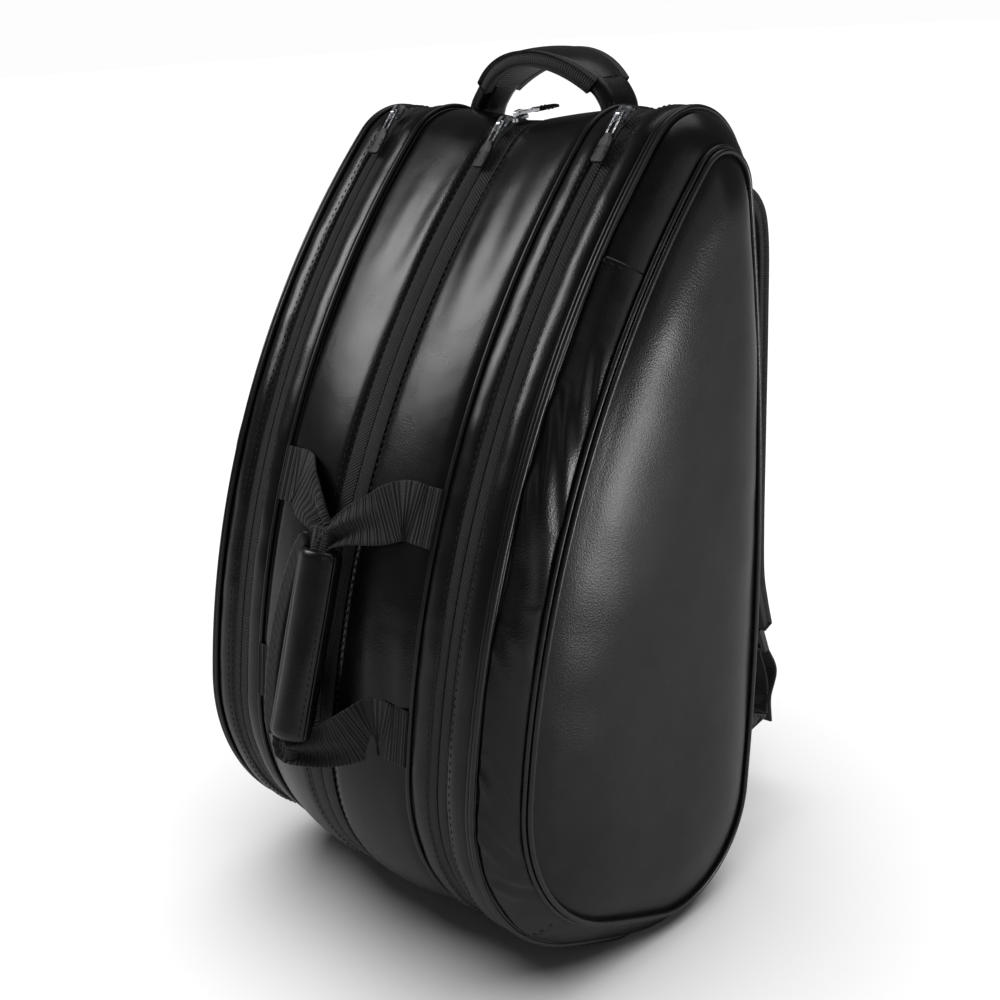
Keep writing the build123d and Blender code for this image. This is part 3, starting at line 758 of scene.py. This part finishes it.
def lid_rim(side, sign, body):
    """The lid's half of the zip, its band, and the double piping at the widest ring."""
    zip_half(side, sign, body, "lid", ZIP_X + 0.0004, TAPE_X1 + 0.0005, 1)
    wall = Wall(TAPE_X1 - 0.0006, RIM_X - 0.0034, puff=0.0020, roll=0.0020)
    shell = sweep(f"{side}_lid_shell", wall.section(22), COATED, wrinkle=band_wrinkle, side=sign)
    put(shell, body, [f"{side}_lid_band"])
    for n, x in enumerate((TAPE_X1 + 0.0014, TAPE_X1 + 0.0046)):
        line = wall_thread(f"{side}_lid_stitches_{n}", x, wall, THREAD, sign, wrinkle=band_wrinkle)
        put(line, body)
    piping(side, sign, body, "rim", [
        round_section(RIM_X - 0.0014, 0.0006, 0.0014), round_section(RIM_X + 0.0016, 0.0002, 0.0019),
        slab_section(RIM_X - 0.0064, RIM_X + 0.0030, -0.0010, -0.0036),
        slab_section(RIM_X, RIM_X + 0.0046, -0.0032, -0.0048),
    ])


def side_band(side, sign, body):
    """The sloping side band in two lengths, which meet at two stitched cross seams."""
    x0, x1, inset = RIM_X + 0.0030, PANEL_X - 0.0030, -PANEL_INSET
    wall = Wall(x0, x1, -0.0018, inset + 0.0022, puff=0.0030, roll=0.0026)
    lapped = Wall(x0, x1, -0.0010, inset + 0.0030, puff=0.0030, roll=0.0026)
    front, rear = (
        sweep(f"{side}_side_shell_{end}", made.section(24), COATED, span, None, side_wrinkle, sign, steps)
        for end, made, span, steps in (
            ("front", lapped, (U_BAND_TOP, U_BAND_LOW), 260),
            ("rear", wall, (U_BAND_LOW - 0.006, U_BAND_TOP + 1.006), 360),
        )
    )
    put(front, body, [f"{side}_side_band_front"])
    put(rear, body, [f"{side}_side_band_rear"])
    seats, directions, outs = [], [], []
    for u, into in ((U_BAND_TOP, 0.0035), (U_BAND_LOW, -0.0035)):
        for x in np.arange(RIM_X + 0.0055, PANEL_X - 0.0045, 0.0038):
            here = u + into / PERIMETER
            bare, normal = on_bag(x, here, float(lapped.height(x)))
            rise = float(side_wrinkle(np.array([[sign * x, bare[1], bare[2]]]))[0])
            seats.append((bare + normal * rise) * [sign, 1, 1])
            slope = unit(X - normal * BAND_SLOPE)
            directions.append(slope * [sign, 1, 1])
            outs.append(unit(normal + BAND_SLOPE * X) * [sign, 1, 1])
    put(thread(f"{side}_cross_stitches", seats, directions, outs, THREAD), body)


def side_panel(side, sign, body):
    """The padded side: rings that close in from the piping to a middle line, over a soft dome."""
    piping(side, sign, body, "panel", [
        round_section(PANEL_X - 0.0016, 0.0012 - PANEL_INSET, 0.0017),
        round_section(PANEL_X + 0.0012, -0.0014 - PANEL_INSET, 0.0019),
        slab_section(PANEL_X - 0.0030, PANEL_X + 0.0010, -0.0004 - PANEL_INSET, -0.0030 - PANEL_INSET),
    ])
    half_count, ring_count = 150, 44
    u_top, u_low = u_near(0.046, 0.560), u_near(-0.010, 0.0)
    f = np.linspace(0, 1, half_count)
    front = u_top - 1 + (u_low - u_top + 1) * f
    back = u_top - (u_top - u_low) * f
    us = np.concatenate([front, back[-2:0:-1]])
    share = np.concatenate([f, f[-2:0:-1]])
    spine_top, spine_foot = np.array([0.040, 0.470]), np.array([-0.022, 0.125])
    spine = spine_top + (spine_foot - spine_top) * (0.5 - 0.5 * np.cos(np.pi * share))[:, None]
    edge, _normals = profile(us, -PANEL_INSET - 0.0022)
    base_x, height = PANEL_X - 0.0012, DOME_X - PANEL_X + 0.0036
    rows = []
    for t in (1 - np.cos(np.linspace(0, math.pi / 2, ring_count))):
        yz = edge * (1 - t) + spine * t
        rise = height * (1 - (1 - t) ** 3.6)
        points = np.column_stack([np.full(len(us), base_x + rise), yz])
        uneven = 0.0022 * ripple(points, 0.120, 8) + 0.0005 * ripple(points, 0.035, 9)
        points[:, 0] += uneven * min(1, t * 9)
        rows.append(points)
    inner = [
        np.column_stack([np.full(len(us), base_x - 0.002), edge * (1 - t) + spine * t])
        for t in np.linspace(1, 0, 6)
    ]
    verts = np.concatenate(inner + rows) * [sign, 1, 1]
    faces = grid_faces(len(inner) + len(rows), len(us), False, True)
    shell = build(f"{side}_panel_shell", verts, faces, PANEL)
    put(shell, body, [f"{side}_side_panel"])


def hinge(side, sign, body):
    """The fabric hinge behind a pocket, where the zip stops."""
    section = slab_section(TAPE_X0 - 0.001, TAPE_X1 + 0.001, -0.0003, -0.0020)
    strip = sweep(f"{side}_hinge_fabric", section, LINING, (U_HINGE_LOW, U_HINGE_TOP), side=sign)
    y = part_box("pocket_hinge_strips")[1][1]
    between = [(sign * (ZIP_X + step), y, 0.3) for step in (-0.003, 0.003)]
    put(strip, body, ["pocket_hinge_strips"], between)


# ---- zip sliders and their tabs
def node_axis(node):
    """Middle, long direction (towards the lower front) and length of a bar-shaped CAD node."""
    points = np.array([v.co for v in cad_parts[node].data.vertices])
    middle = (points.min(0) + points.max(0)) / 2
    _u, _s, axes = np.linalg.svd(points - middle, full_matrices=False)
    along = axes[0] * (1 if (points - middle)[:, 2].ptp() < 0.005 or axes[0][2] < 0 else -1)
    reach = (points - middle) @ along
    return middle, along, reach.max() - reach.min()


def bevelled(node, material, width):
    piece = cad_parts[node]
    piece.data.materials.clear()
    piece.data.materials.append(material)
    edges = piece.modifiers.new("edges", "BEVEL")
    edges.width, edges.segments, edges.limit_method = width, 3, "ANGLE"
    piece.modifiers.new("shading", "WEIGHTED_NORMAL")
    piece.data.shade_smooth()


def domed(height, width):
    """Relief that is highest along the middle of a strap."""
    return lambda s, a: height * (1 - (a / (width / 2)) ** 2)


def sliders():
    row, pitch = 0.0036, 0.0036     # how far the stitches run from the middle, and their spacing

    def pressed(s, a):
        """Thicker at the link, with a groove under each row of stitches."""
        groove = np.exp(-(((np.abs(a) - row) / 0.0006) ** 2))
        return 0.0005 * np.clip(1 - s / 0.008, 0, 1) - 0.00035 * groove

    for name in ("right", "left", "centre_front", "centre_rear"):
        bevelled(f"{name}_slider", METAL, 0.0005)
        bevelled(f"{name}_pull", METAL, 0.0004)
        middle, along, length = node_axis(f"{name}_pull_tab")
        if name == "centre_rear" and along[1] < 0:
            along = -along
        start, end = middle - along * (length / 2 + 0.0012), middle + along * length / 2
        t = np.linspace(0, 1, 60)
        path = start + (end - start) * t[:, None]
        narrow = 0.62 + 0.38 * rising(t, 0.10, 0.16) ** 0.8
        narrow *= 1 - 0.35 * rising(t, 0.93, 0.07) ** 2
        tab = ribbon(f"{name}_tab_leather", path, X, strap_section(0.0104, 0.0024), TAB, narrow, pressed)
        put(tab, f"{name}_zip_pull", [f"{name}_pull_tab"])
        out = unit(np.cross(along, X))
        steps = np.arange(0.010, length - 0.003, pitch)
        spots = [(s, edge, face) for s in steps for edge in (-1, 1) for face in (-1, 1)]
        seats = [start + along * s + X * (edge * row) + out * 0.0012 * face for s, edge, face in spots]
        outs = [out * face for _s, _edge, face in spots]
        line = thread(f"{name}_tab_stitches", seats, [along] * len(seats), outs, THREAD, 0.0024, 0.00026)
        put(line, f"{name}_zip_pull")


# ---- top carry handle
def top_handle():
    low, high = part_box("top_handle")
    half_span, rise = high[0], high[2] - low[2]
    radius = (half_span**2 + rise**2) / (2 * rise)
    centre = np.array([0.0, (low[1] + high[1]) / 2, high[2] - radius])
    reach = math.asin(half_span / radius)
    plump = 1.22                # the padded band spreads past its CAD solid
    width, steps = plump * (high[1] - low[1]), 90

    def arc(drop, angles):
        """Points that far under the top of the arch, at angles from straight up."""
        ring = np.stack([np.sin(angles), 0 * angles, np.cos(angles)], 1)
        return centre + ring * (radius - drop)

    across = np.array([0.0, 1.0, 0.0])
    narrow = 1 - 0.36 * rising(np.abs(np.linspace(-1, 1, steps)), 0.20, 0.80) ** 1.6
    band = np.linspace(-0.90 * reach, 0.90 * reach, steps)
    section = strap_section(width, 0.0070, 24)
    back = ribbon("handle_leather", arc(0.0036, band), across, section, COATED, narrow, domed(0.0016, width))
    put(back, "carry_handle", ["top_handle"])
    section = strap_section(width - 0.003, 0.0044, 24)
    lining = ribbon("handle_mesh", arc(0.0076, band), across, section, MESH, narrow, domed(0.0010, width))
    put(lining, "carry_handle", ["top_handle_lining"])
    for n, edge in enumerate((-1, 1)):
        spine = arc(0.0052, band) + across * (edge * width / 2 * narrow)[:, None]
        binding = ribbon(f"handle_binding_{n}", spine, across, strap_section(0.0040, 0.0105, 6), WEB)
        put(binding, "carry_handle")
    held = arc(0.0050, reach * np.array([0.78, 0.88, 1.0]))
    sewn = held[2] + np.array([[0.0060, -0.001, -0.0090], [0.0078, -0.003, -0.0200], [0.0070, -0.005, -0.0300]])
    for side, sign in SIDES.items():
        path = smooth_path([*held, *sewn], 50) * [sign, 1, 1]
        foot = ribbon(
            f"{side}_handle_foot", path, across, strap_section(width * 0.72, 0.0120, 24), COATED,
            1 - 0.10 * np.linspace(0, 1, 50), lambda s, a: -0.0030 * rising(s, 0.030, 0.02),
        )
        between = [(sign * half_span, centre[1], z) for z in (0.558, 0.576)]
        put(foot, "carry_handle", ["top_handle_feet"], between)


# ---- front carry handle
def grip_frame():
    """Middle, upward direction, outward direction and length of the front grip."""
    points = np.array([v.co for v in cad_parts["grip_flap"].data.vertices])
    top, foot = np.array([0, -0.165, 0.303]), np.array([0, -0.206, 0.185])
    middle, up = (top + foot) / 2, unit(top - foot)
    reach = ((points - middle) @ up).max()
    return middle, up, np.cross(X, up), 2 * reach


def grip_leather(name, grip, angles, radii, puff=None):
    """Part of an elliptical tube: radii (across, out), from and to angles measured from +X to out."""
    middle, up, out, length = grip
    thick, rows = 0.0028, 60
    turn = np.linspace(*angles, 40)
    facing = np.stack([np.cos(turn), np.sin(turn)], 1)
    zs = np.linspace(-length / 2, length / 2, rows)
    grid = []
    for z in zs:
        eased = 0.0016 * rising(length / 2 - abs(z), 0, 0.004) ** 0.5 - 0.0016
        swell = eased + (0 * turn if puff is None else puff(z, turn))
        outer = facing * (np.array(radii) + swell[:, None])
        inner = facing[::-1] * (np.array(radii) - thick)
        ring = np.concatenate([outer, inner])
        grid.append(middle + up * z + ring[:, :1] * X + ring[:, 1:] * out)
    verts = np.array(grid)
    u = np.broadcast_to(zs[:, None], verts.shape[:2])
    v = np.broadcast_to(np.arange(verts.shape[1])[None] * 0.0015, verts.shape[:2])
    uvs = np.stack([u, v], -1).reshape(-1, 2)
    return build(name, verts.reshape(-1, 3), tube_faces(rows, verts.shape[1], False), GRIP, uvs)


def front_handle():
    grip = middle, up, out, length = grip_frame()
    split = math.asin(0.0022 / 0.012)

    def flap_puff(z, angle):
        """Slight waves, and a groove along the flap's far side."""
        return 0.00025 * np.sin(3 * angle + z * 45) - 0.0008 * np.exp(-(((angle - 2.05) / 0.10) ** 2))

    flap = grip_leather("grip_flap_leather", grip, (split, math.pi - split), (0.0166, 0.0128), flap_puff)
    put(flap, "grip_cover", ["grip_flap"])
    round_back = (math.pi - split + 0.03, math.tau + split - 0.03)
    back = grip_leather("grip_sleeve_leather", grip, round_back, (0.0162, 0.0122))
    t = np.linspace(0, 1, 60)
    bow = 0.0190 + 0.0125 * np.sin(np.pi * t) ** 0.6
    spine = middle + up * ((0.5 - t) * (length + 0.006))[:, None] - X * bow[:, None] - out * 0.0015
    tongue = ribbon(
        "grip_tongue_fleece", spine, X, strap_section(0.0150, 0.0052, 14), FLEECE,
        0.75 + 0.25 * np.sin(np.pi * t) ** 0.5, lambda s, a: 0.0004 * np.sin(s * 900) * np.cos(a * 900),
    )
    put(tongue, "front_grip")
    put(back, "front_grip", ["grip_sleeve"])
    zs = np.arange(-length / 2 + 0.005, length / 2 - 0.004, 0.0048)
    for face, angle in (("near", split + 0.24), ("far", math.pi - split - 0.24)):
        cos, sin = math.cos(angle), math.sin(angle)
        seats = [middle + up * z + X * 0.0168 * cos + out * (0.0130 * sin + 0.0002) for z in zs]
        normal = unit(X * cos * 0.7 + out * sin)
        line = thread(f"grip_stitches_{face}", seats, [up] * len(zs), [normal] * len(zs), THREAD)
        put(line, "grip_cover")
    t = np.linspace(-1, 1, 160)
    core = ribbon(
        "grip_core_webbing", middle + up * t[:, None] * (length / 2 + 0.014), X,
        strap_section(0.0200, 0.0090, 16), WEB, 0.86 + 0.14 * np.cos(t * math.pi / 2),
        lambda s, a: 0.0006 * np.cos(a * 1500) + 0.0002 * np.sin(s / 0.0016 * math.tau),
    )
    put(core, "front_grip", ["grip_core"])
    for side, sign in SIDES.items():
        for level, tip, seam_z in (("upper", 1, 0.338), ("lower", -1, 0.192)):
            web_leg(side, sign, level, tip, seam_z, grip)


def web_leg(side, sign, level, tip, seam_z, grip):
    """One leg of the carry webbing: flat at its seam, then bent and gathered into the grip.

    tip is 1 for the legs at the top of the grip and -1 for those at its foot.
    """
    middle, up, out, length = grip
    u = u_near(-0.15, seam_z)
    seam, normal = on_bag(SEAM_X - 0.001, u, 0.0022)
    flat, _n = on_bag(0.066, u, 0.0024, 0.08)
    lifted, _n = on_bag(0.052, u, 0.0050, 0.25)
    end = middle + up * tip * (length / 2 + 0.009)
    into = middle + up * tip * (length / 2 - 0.014)
    layer = out * (0.0026 * sign)
    points = [
        seam, flat, lifted, lifted * 0.62 + end * 0.38 + np.array([0.004, 0, 0.002 * tip]),
        lifted * 0.25 + end * 0.75 + np.array([0.003, 0, 0.002 * tip]) + layer * 0.4,
        end + np.array([0.002, 0, -0.004 * tip]) + layer, into + layer * 0.9,
    ]
    t = np.linspace(0, 1, 320)
    path = smooth_path(points, len(t))
    turn, late = rising(t, 0.31, 0.07)[:, None], rising(t, 0.45, 0.40)[:, None]
    tilted = unit(normal + np.array([0.75, 0, 0.30 * tip]))
    face = unit(normal * (1 - turn) + (tilted * (1 - late) + out * late) * turn)
    across = np.cross(face, unit(np.gradient(path, axis=0)))
    gather = rising(t, 0.40, 0.42)
    gather = gather * gather * (3 - 2 * gather)
    folded = gather * (1 - 0.6 * rising(t, 0.8, 0.2))
    lengths = lengths_along(path)

    def pleat(s, a):
        depth = 0.0036 * np.interp(s, lengths, folded)
        return depth * np.cos(a / WEB_WIDTH * math.tau * 1.6 + 0.8 + 0.4 * sign)

    leg = ribbon(
        f"{side}_{level}_web", path * [sign, 1, 1], across * [sign, 1, 1], strap_section(WEB_WIDTH, 0.0018, 34),
        WEB, 1 - 0.50 * gather, lambda s, a: 0.00036 * np.sin(s / WEB_RIB * math.tau), pleat,
    )
    between = (lifted * [sign, 1, 1], (end + [0.010, 0, 0]) * [sign, 1, 1])
    put(leg, "front_grip", ["front_handle_webbing"], between)


# ---- shoulder straps
def shoulder_straps():
    for side, sign in SIDES.items():
        body = f"{side}_strap"
        pad_low, pad_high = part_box(f"{side}_strap_pad")
        x = (pad_low[0] + pad_high[0]) / 2
        width = pad_high[0] - pad_low[0]
        line = [(0.108, 0.506), (0.134, 0.500), (0.159, 0.487), (0.169, 0.462), (0.170, 0.400), (0.1690, 0.320),
                (0.168, 0.240), (0.1695, 0.200), (0.177, 0.172), (0.1860, 0.148)]
        path = smooth_path([(x, y, z) for y, z in line], 220)
        t = np.linspace(0, 1, 220)
        scale = 1 - 0.12 * rising(t, 0.72, 0.28) ** 1.5 - 0.06 * np.clip(1 - t / 0.12, 0, 1)
        section = strap_section(width - 0.002, 0.0096, 26)
        pad = ribbon(f"{side}_strap_mesh", path, X, section, MESH, scale, domed(0.0022, width))
        put(pad, body, [f"{side}_strap_pad"])
        outward = -path_axes(path, X)[2]
        section = strap_section(width - 0.012, 0.0030, 26)
        face = path + outward * 0.0052
        cover = ribbon(f"{side}_strap_cover", face, X, section, COATED, scale, domed(0.0016, width))
        put(cover, body)
        for n, edge in enumerate((-1, 1)):
            spine = path + X * (edge * (width / 2 - 0.0016) * scale)[:, None]
            binding = ribbon(f"{side}_strap_binding_{n}", spine, X, strap_section(0.0032, 0.0104, 6), WEB)
            put(binding, body)
        bevelled(f"{side}_strap_adjuster", BUCKLE, 0.0008)
        strap_webbing(side, sign, body, x, path)
        strap_tab(side, sign)


def strap_webbing(side, sign, body, x, path):
    """The loop at the end of a pad, the webbing from the adjuster down to its tab, and the spare end."""
    box_low, box_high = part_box(f"{side}_strap_adjuster")
    top = np.array([x, box_low[1] + 0.003, box_high[2] - 0.001])
    foot = np.array([x, box_high[1] - 0.003, box_low[2] + 0.001])
    slide = unit(foot - top)
    loop = smooth_path([path[-14], path[-2], top + slide * 0.001, top + slide * 0.009], 40)
    put(ribbon(f"{side}_strap_loop", loop, X, strap_section(0.030, 0.0022), WEB), body)
    web_low, web_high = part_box(f"{side}_strap_webbing")
    start = foot - slide * 0.008
    tip = np.array([(web_low[0] + web_high[0]) / 2, web_high[1], web_low[2]])
    route = [start, foot + slide * 0.003, start * 0.4 + tip * 0.6 + [sign * 0.002, 0.003, 0], tip]
    strip = ribbon(
        f"{side}_strap_web", smooth_path(route, 120), X, strap_section(0.0300, 0.0020, 20), WEB,
        relief=lambda s, a: 0.00018 * np.sin(s / 0.0017 * math.tau),
    )
    put(strip, body, [f"{side}_strap_webbing"], (tip, foot))
    drape = [(0.006, 0.004, -0.004), (0.010, 0.009, -0.022), (0.009, 0.003, -0.044), (0.008, 0.006, -0.068)]
    tail = smooth_path([start + [0, 0.004, 0], *(foot + [sign * dx, dy, dz] for dx, dy, dz in drape)], 90)
    spare = ribbon(f"{side}_strap_tail", tail, (1, 0.15, 0), strap_section(0.0290, 0.0022, 16), WEB)
    put(spare, body, between=(foot + [0, 0, -0.080], foot + [0, 0, -0.004]))


def strap_tab(side, sign):
    """The leather patch that the webbing is sewn to, with its folded edge and stitches."""
    _low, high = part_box("strap_tabs")
    x0, x1 = high[0] - 0.0024, high[0]
    corners = np.array([(0.100, 0.108), (high[1], 0.062), (0.078, 0.042), (0.070, 0.075)])
    round_off, outline = 0.008, []
    for i, corner in enumerate(corners):
        before, after = corners[i - 1], corners[(i + 1) % 4]
        a, b = corner + unit(before - corner) * round_off, corner + unit(after - corner) * round_off
        run = after + unit(corner - after) * round_off - b
        outline += [(1 - k) ** 2 * a + 2 * k * (1 - k) * corner + k * k * b for k in np.linspace(0, 1, 7)]
        outline += [b + run * k for k in np.linspace(0, 1, 12)[1:-1]]
    outline = np.array(outline)
    centre = outline.mean(0)
    rows = []
    for inset, x in ((0.000, x0), (0.000, x1 - 0.0006), (0.010, x1), (0.040, x1 + 0.0004), (0.075, x1 - 0.0003),
                     (0.12, x1 - 0.0001), (0.5, x1), (1.0, x1), (1.0, x0)):
        ring = outline + (centre - outline) * inset
        rows.append(np.column_stack([np.full(len(ring), x), ring]))
    verts = np.concatenate(rows) * [sign, 1, 1]
    tab = build(f"{side}_tab_patch", verts, grid_faces(len(rows), len(outline), True, True), COATED)
    put(tab, "bag", ["strap_tabs"])
    seats = outline + (centre - outline) * 0.10
    run = np.roll(seats, -1, axis=0) - np.roll(seats, 1, axis=0)
    place = np.column_stack([np.full(len(seats), sign * (x1 + 0.0001)), seats])
    directions = np.column_stack([np.zeros(len(seats)), unit(run)])
    line = thread(f"{side}_tab_patch_stitches", place, directions, [sign * X] * len(seats), THREAD)
    put(line, "bag")


def inside():
    """Boards and dividers, seen when a pocket is open, keep their CAD shapes."""
    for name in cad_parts:
        if "board" in name:
            bevelled(name, BOARD, 0.0006)
        elif "divider" in name:
            bevelled(name, LINING, 0.0010)


# ---- studio
def studio():
    scene = bpy.context.scene
    scene.view_settings.view_transform = "Standard"
    camera = add("camera", bpy.data.cameras.new("camera"))
    camera.data.lens, camera.data.sensor_width = 48.18, 36.0
    right, above, behind = (
        (0.70529, 0.70677, -0.05518), (-0.20226, 0.27521, 0.93987), (0.67946, -0.65172, 0.33705)
    )
    turn = Matrix((right, above, behind)).transposed().to_4x4()
    camera.matrix_world = Matrix.Translation((0.6597, -0.6370, 0.6169)) @ turn
    scene.camera = camera

    floor_look = Look("studio_floor", (0.42, 0.42, 0.42), 0.9)
    floor_look.tint(floor_look.node("ShaderNodeLightPath").outputs["Is Camera Ray"], (0.88, 0.88, 0.88))
    size = 30.0
    corners = [(-size, -size, 0), (size, -size, 0), (size, size, 0), (-size, size, 0)]
    floor = build("floor", corners, [(0, 1, 2, 3)], floor_look.material)

    world = bpy.data.worlds.new("studio")
    scene.world = world
    world.use_nodes = True
    tree = world.node_tree
    dim, backdrop = tree.nodes["Background"], tree.nodes.new("ShaderNodeBackground")
    dim.inputs["Color"].default_value = (1, 1, 1, 1)
    dim.inputs["Strength"].default_value = 0.07
    backdrop.inputs["Color"].default_value = (0.98, 0.98, 0.98, 1)
    path, mix = tree.nodes.new("ShaderNodeLightPath"), tree.nodes.new("ShaderNodeMixShader")
    tree.links.new(path.outputs["Is Camera Ray"], mix.inputs["Fac"])
    tree.links.new(dim.outputs["Background"], mix.inputs[1])
    tree.links.new(backdrop.outputs["Background"], mix.inputs[2])
    tree.links.new(mix.outputs["Shader"], tree.nodes["World Output"].inputs["Surface"])

    sun = add("floor_sun", bpy.data.lights.new("floor_sun", "SUN"))
    sun.data.energy, sun.data.angle = 3.9, math.radians(70)
    sun.light_linking.receiver_collection = linked("floor_only", floor, "INCLUDE")
    unlit = linked("all_but_floor", floor, "EXCLUDE")
    softbox("front_left", (-1.15, -0.85, 1.55), (0.6, 1.0), 15, unlit)
    softbox("right_low", (1.20, 0.34, 0.22), (0.35, 0.40), 6, unlit)
    softbox("right_side", (1.75, 0.35, 1.15), (1.0, 1.0), 2, unlit)
    softbox("overhead", (0.1, 0.7, 2.0), (1.2, 1.2), 5, unlit)
    softbox("camera_right", (1.5, -1.7, 1.5), (1.2, 1.2), 1.5, unlit)


def linked(name, piece, state):
    """A light's receivers: only the piece, or all but the piece."""
    receivers = bpy.data.collections.new(name)
    receivers.objects.link(piece)
    receivers.collection_objects[0].light_linking.link_state = state
    return receivers


def softbox(name, place, size, power, receivers):
    lamp = add(name, bpy.data.lights.new(name, "AREA"))
    light = lamp.data
    light.shape, light.size, light.size_y, light.energy = "RECTANGLE", *size, power
    lamp.location = place
    lamp.visible_camera = False
    lamp.rotation_euler = (Vector((0, 0, 0.3)) - Vector(place)).to_track_quat("-Z", "Y").to_euler()
    lamp.light_linking.receiver_collection = receivers


studio()
centre_compartment()
base_panel()
back_panel()
for side_name, side_sign in SIDES.items():
    lid = f"{side_name}_lid"
    pocket_mouth(side_name, side_sign)
    lid_rim(side_name, side_sign, lid)
    side_band(side_name, side_sign, lid)
    side_panel(side_name, side_sign, lid)
    hinge(side_name, side_sign, lid)
sliders()
top_handle()
front_handle()
shoulder_straps()
inside()
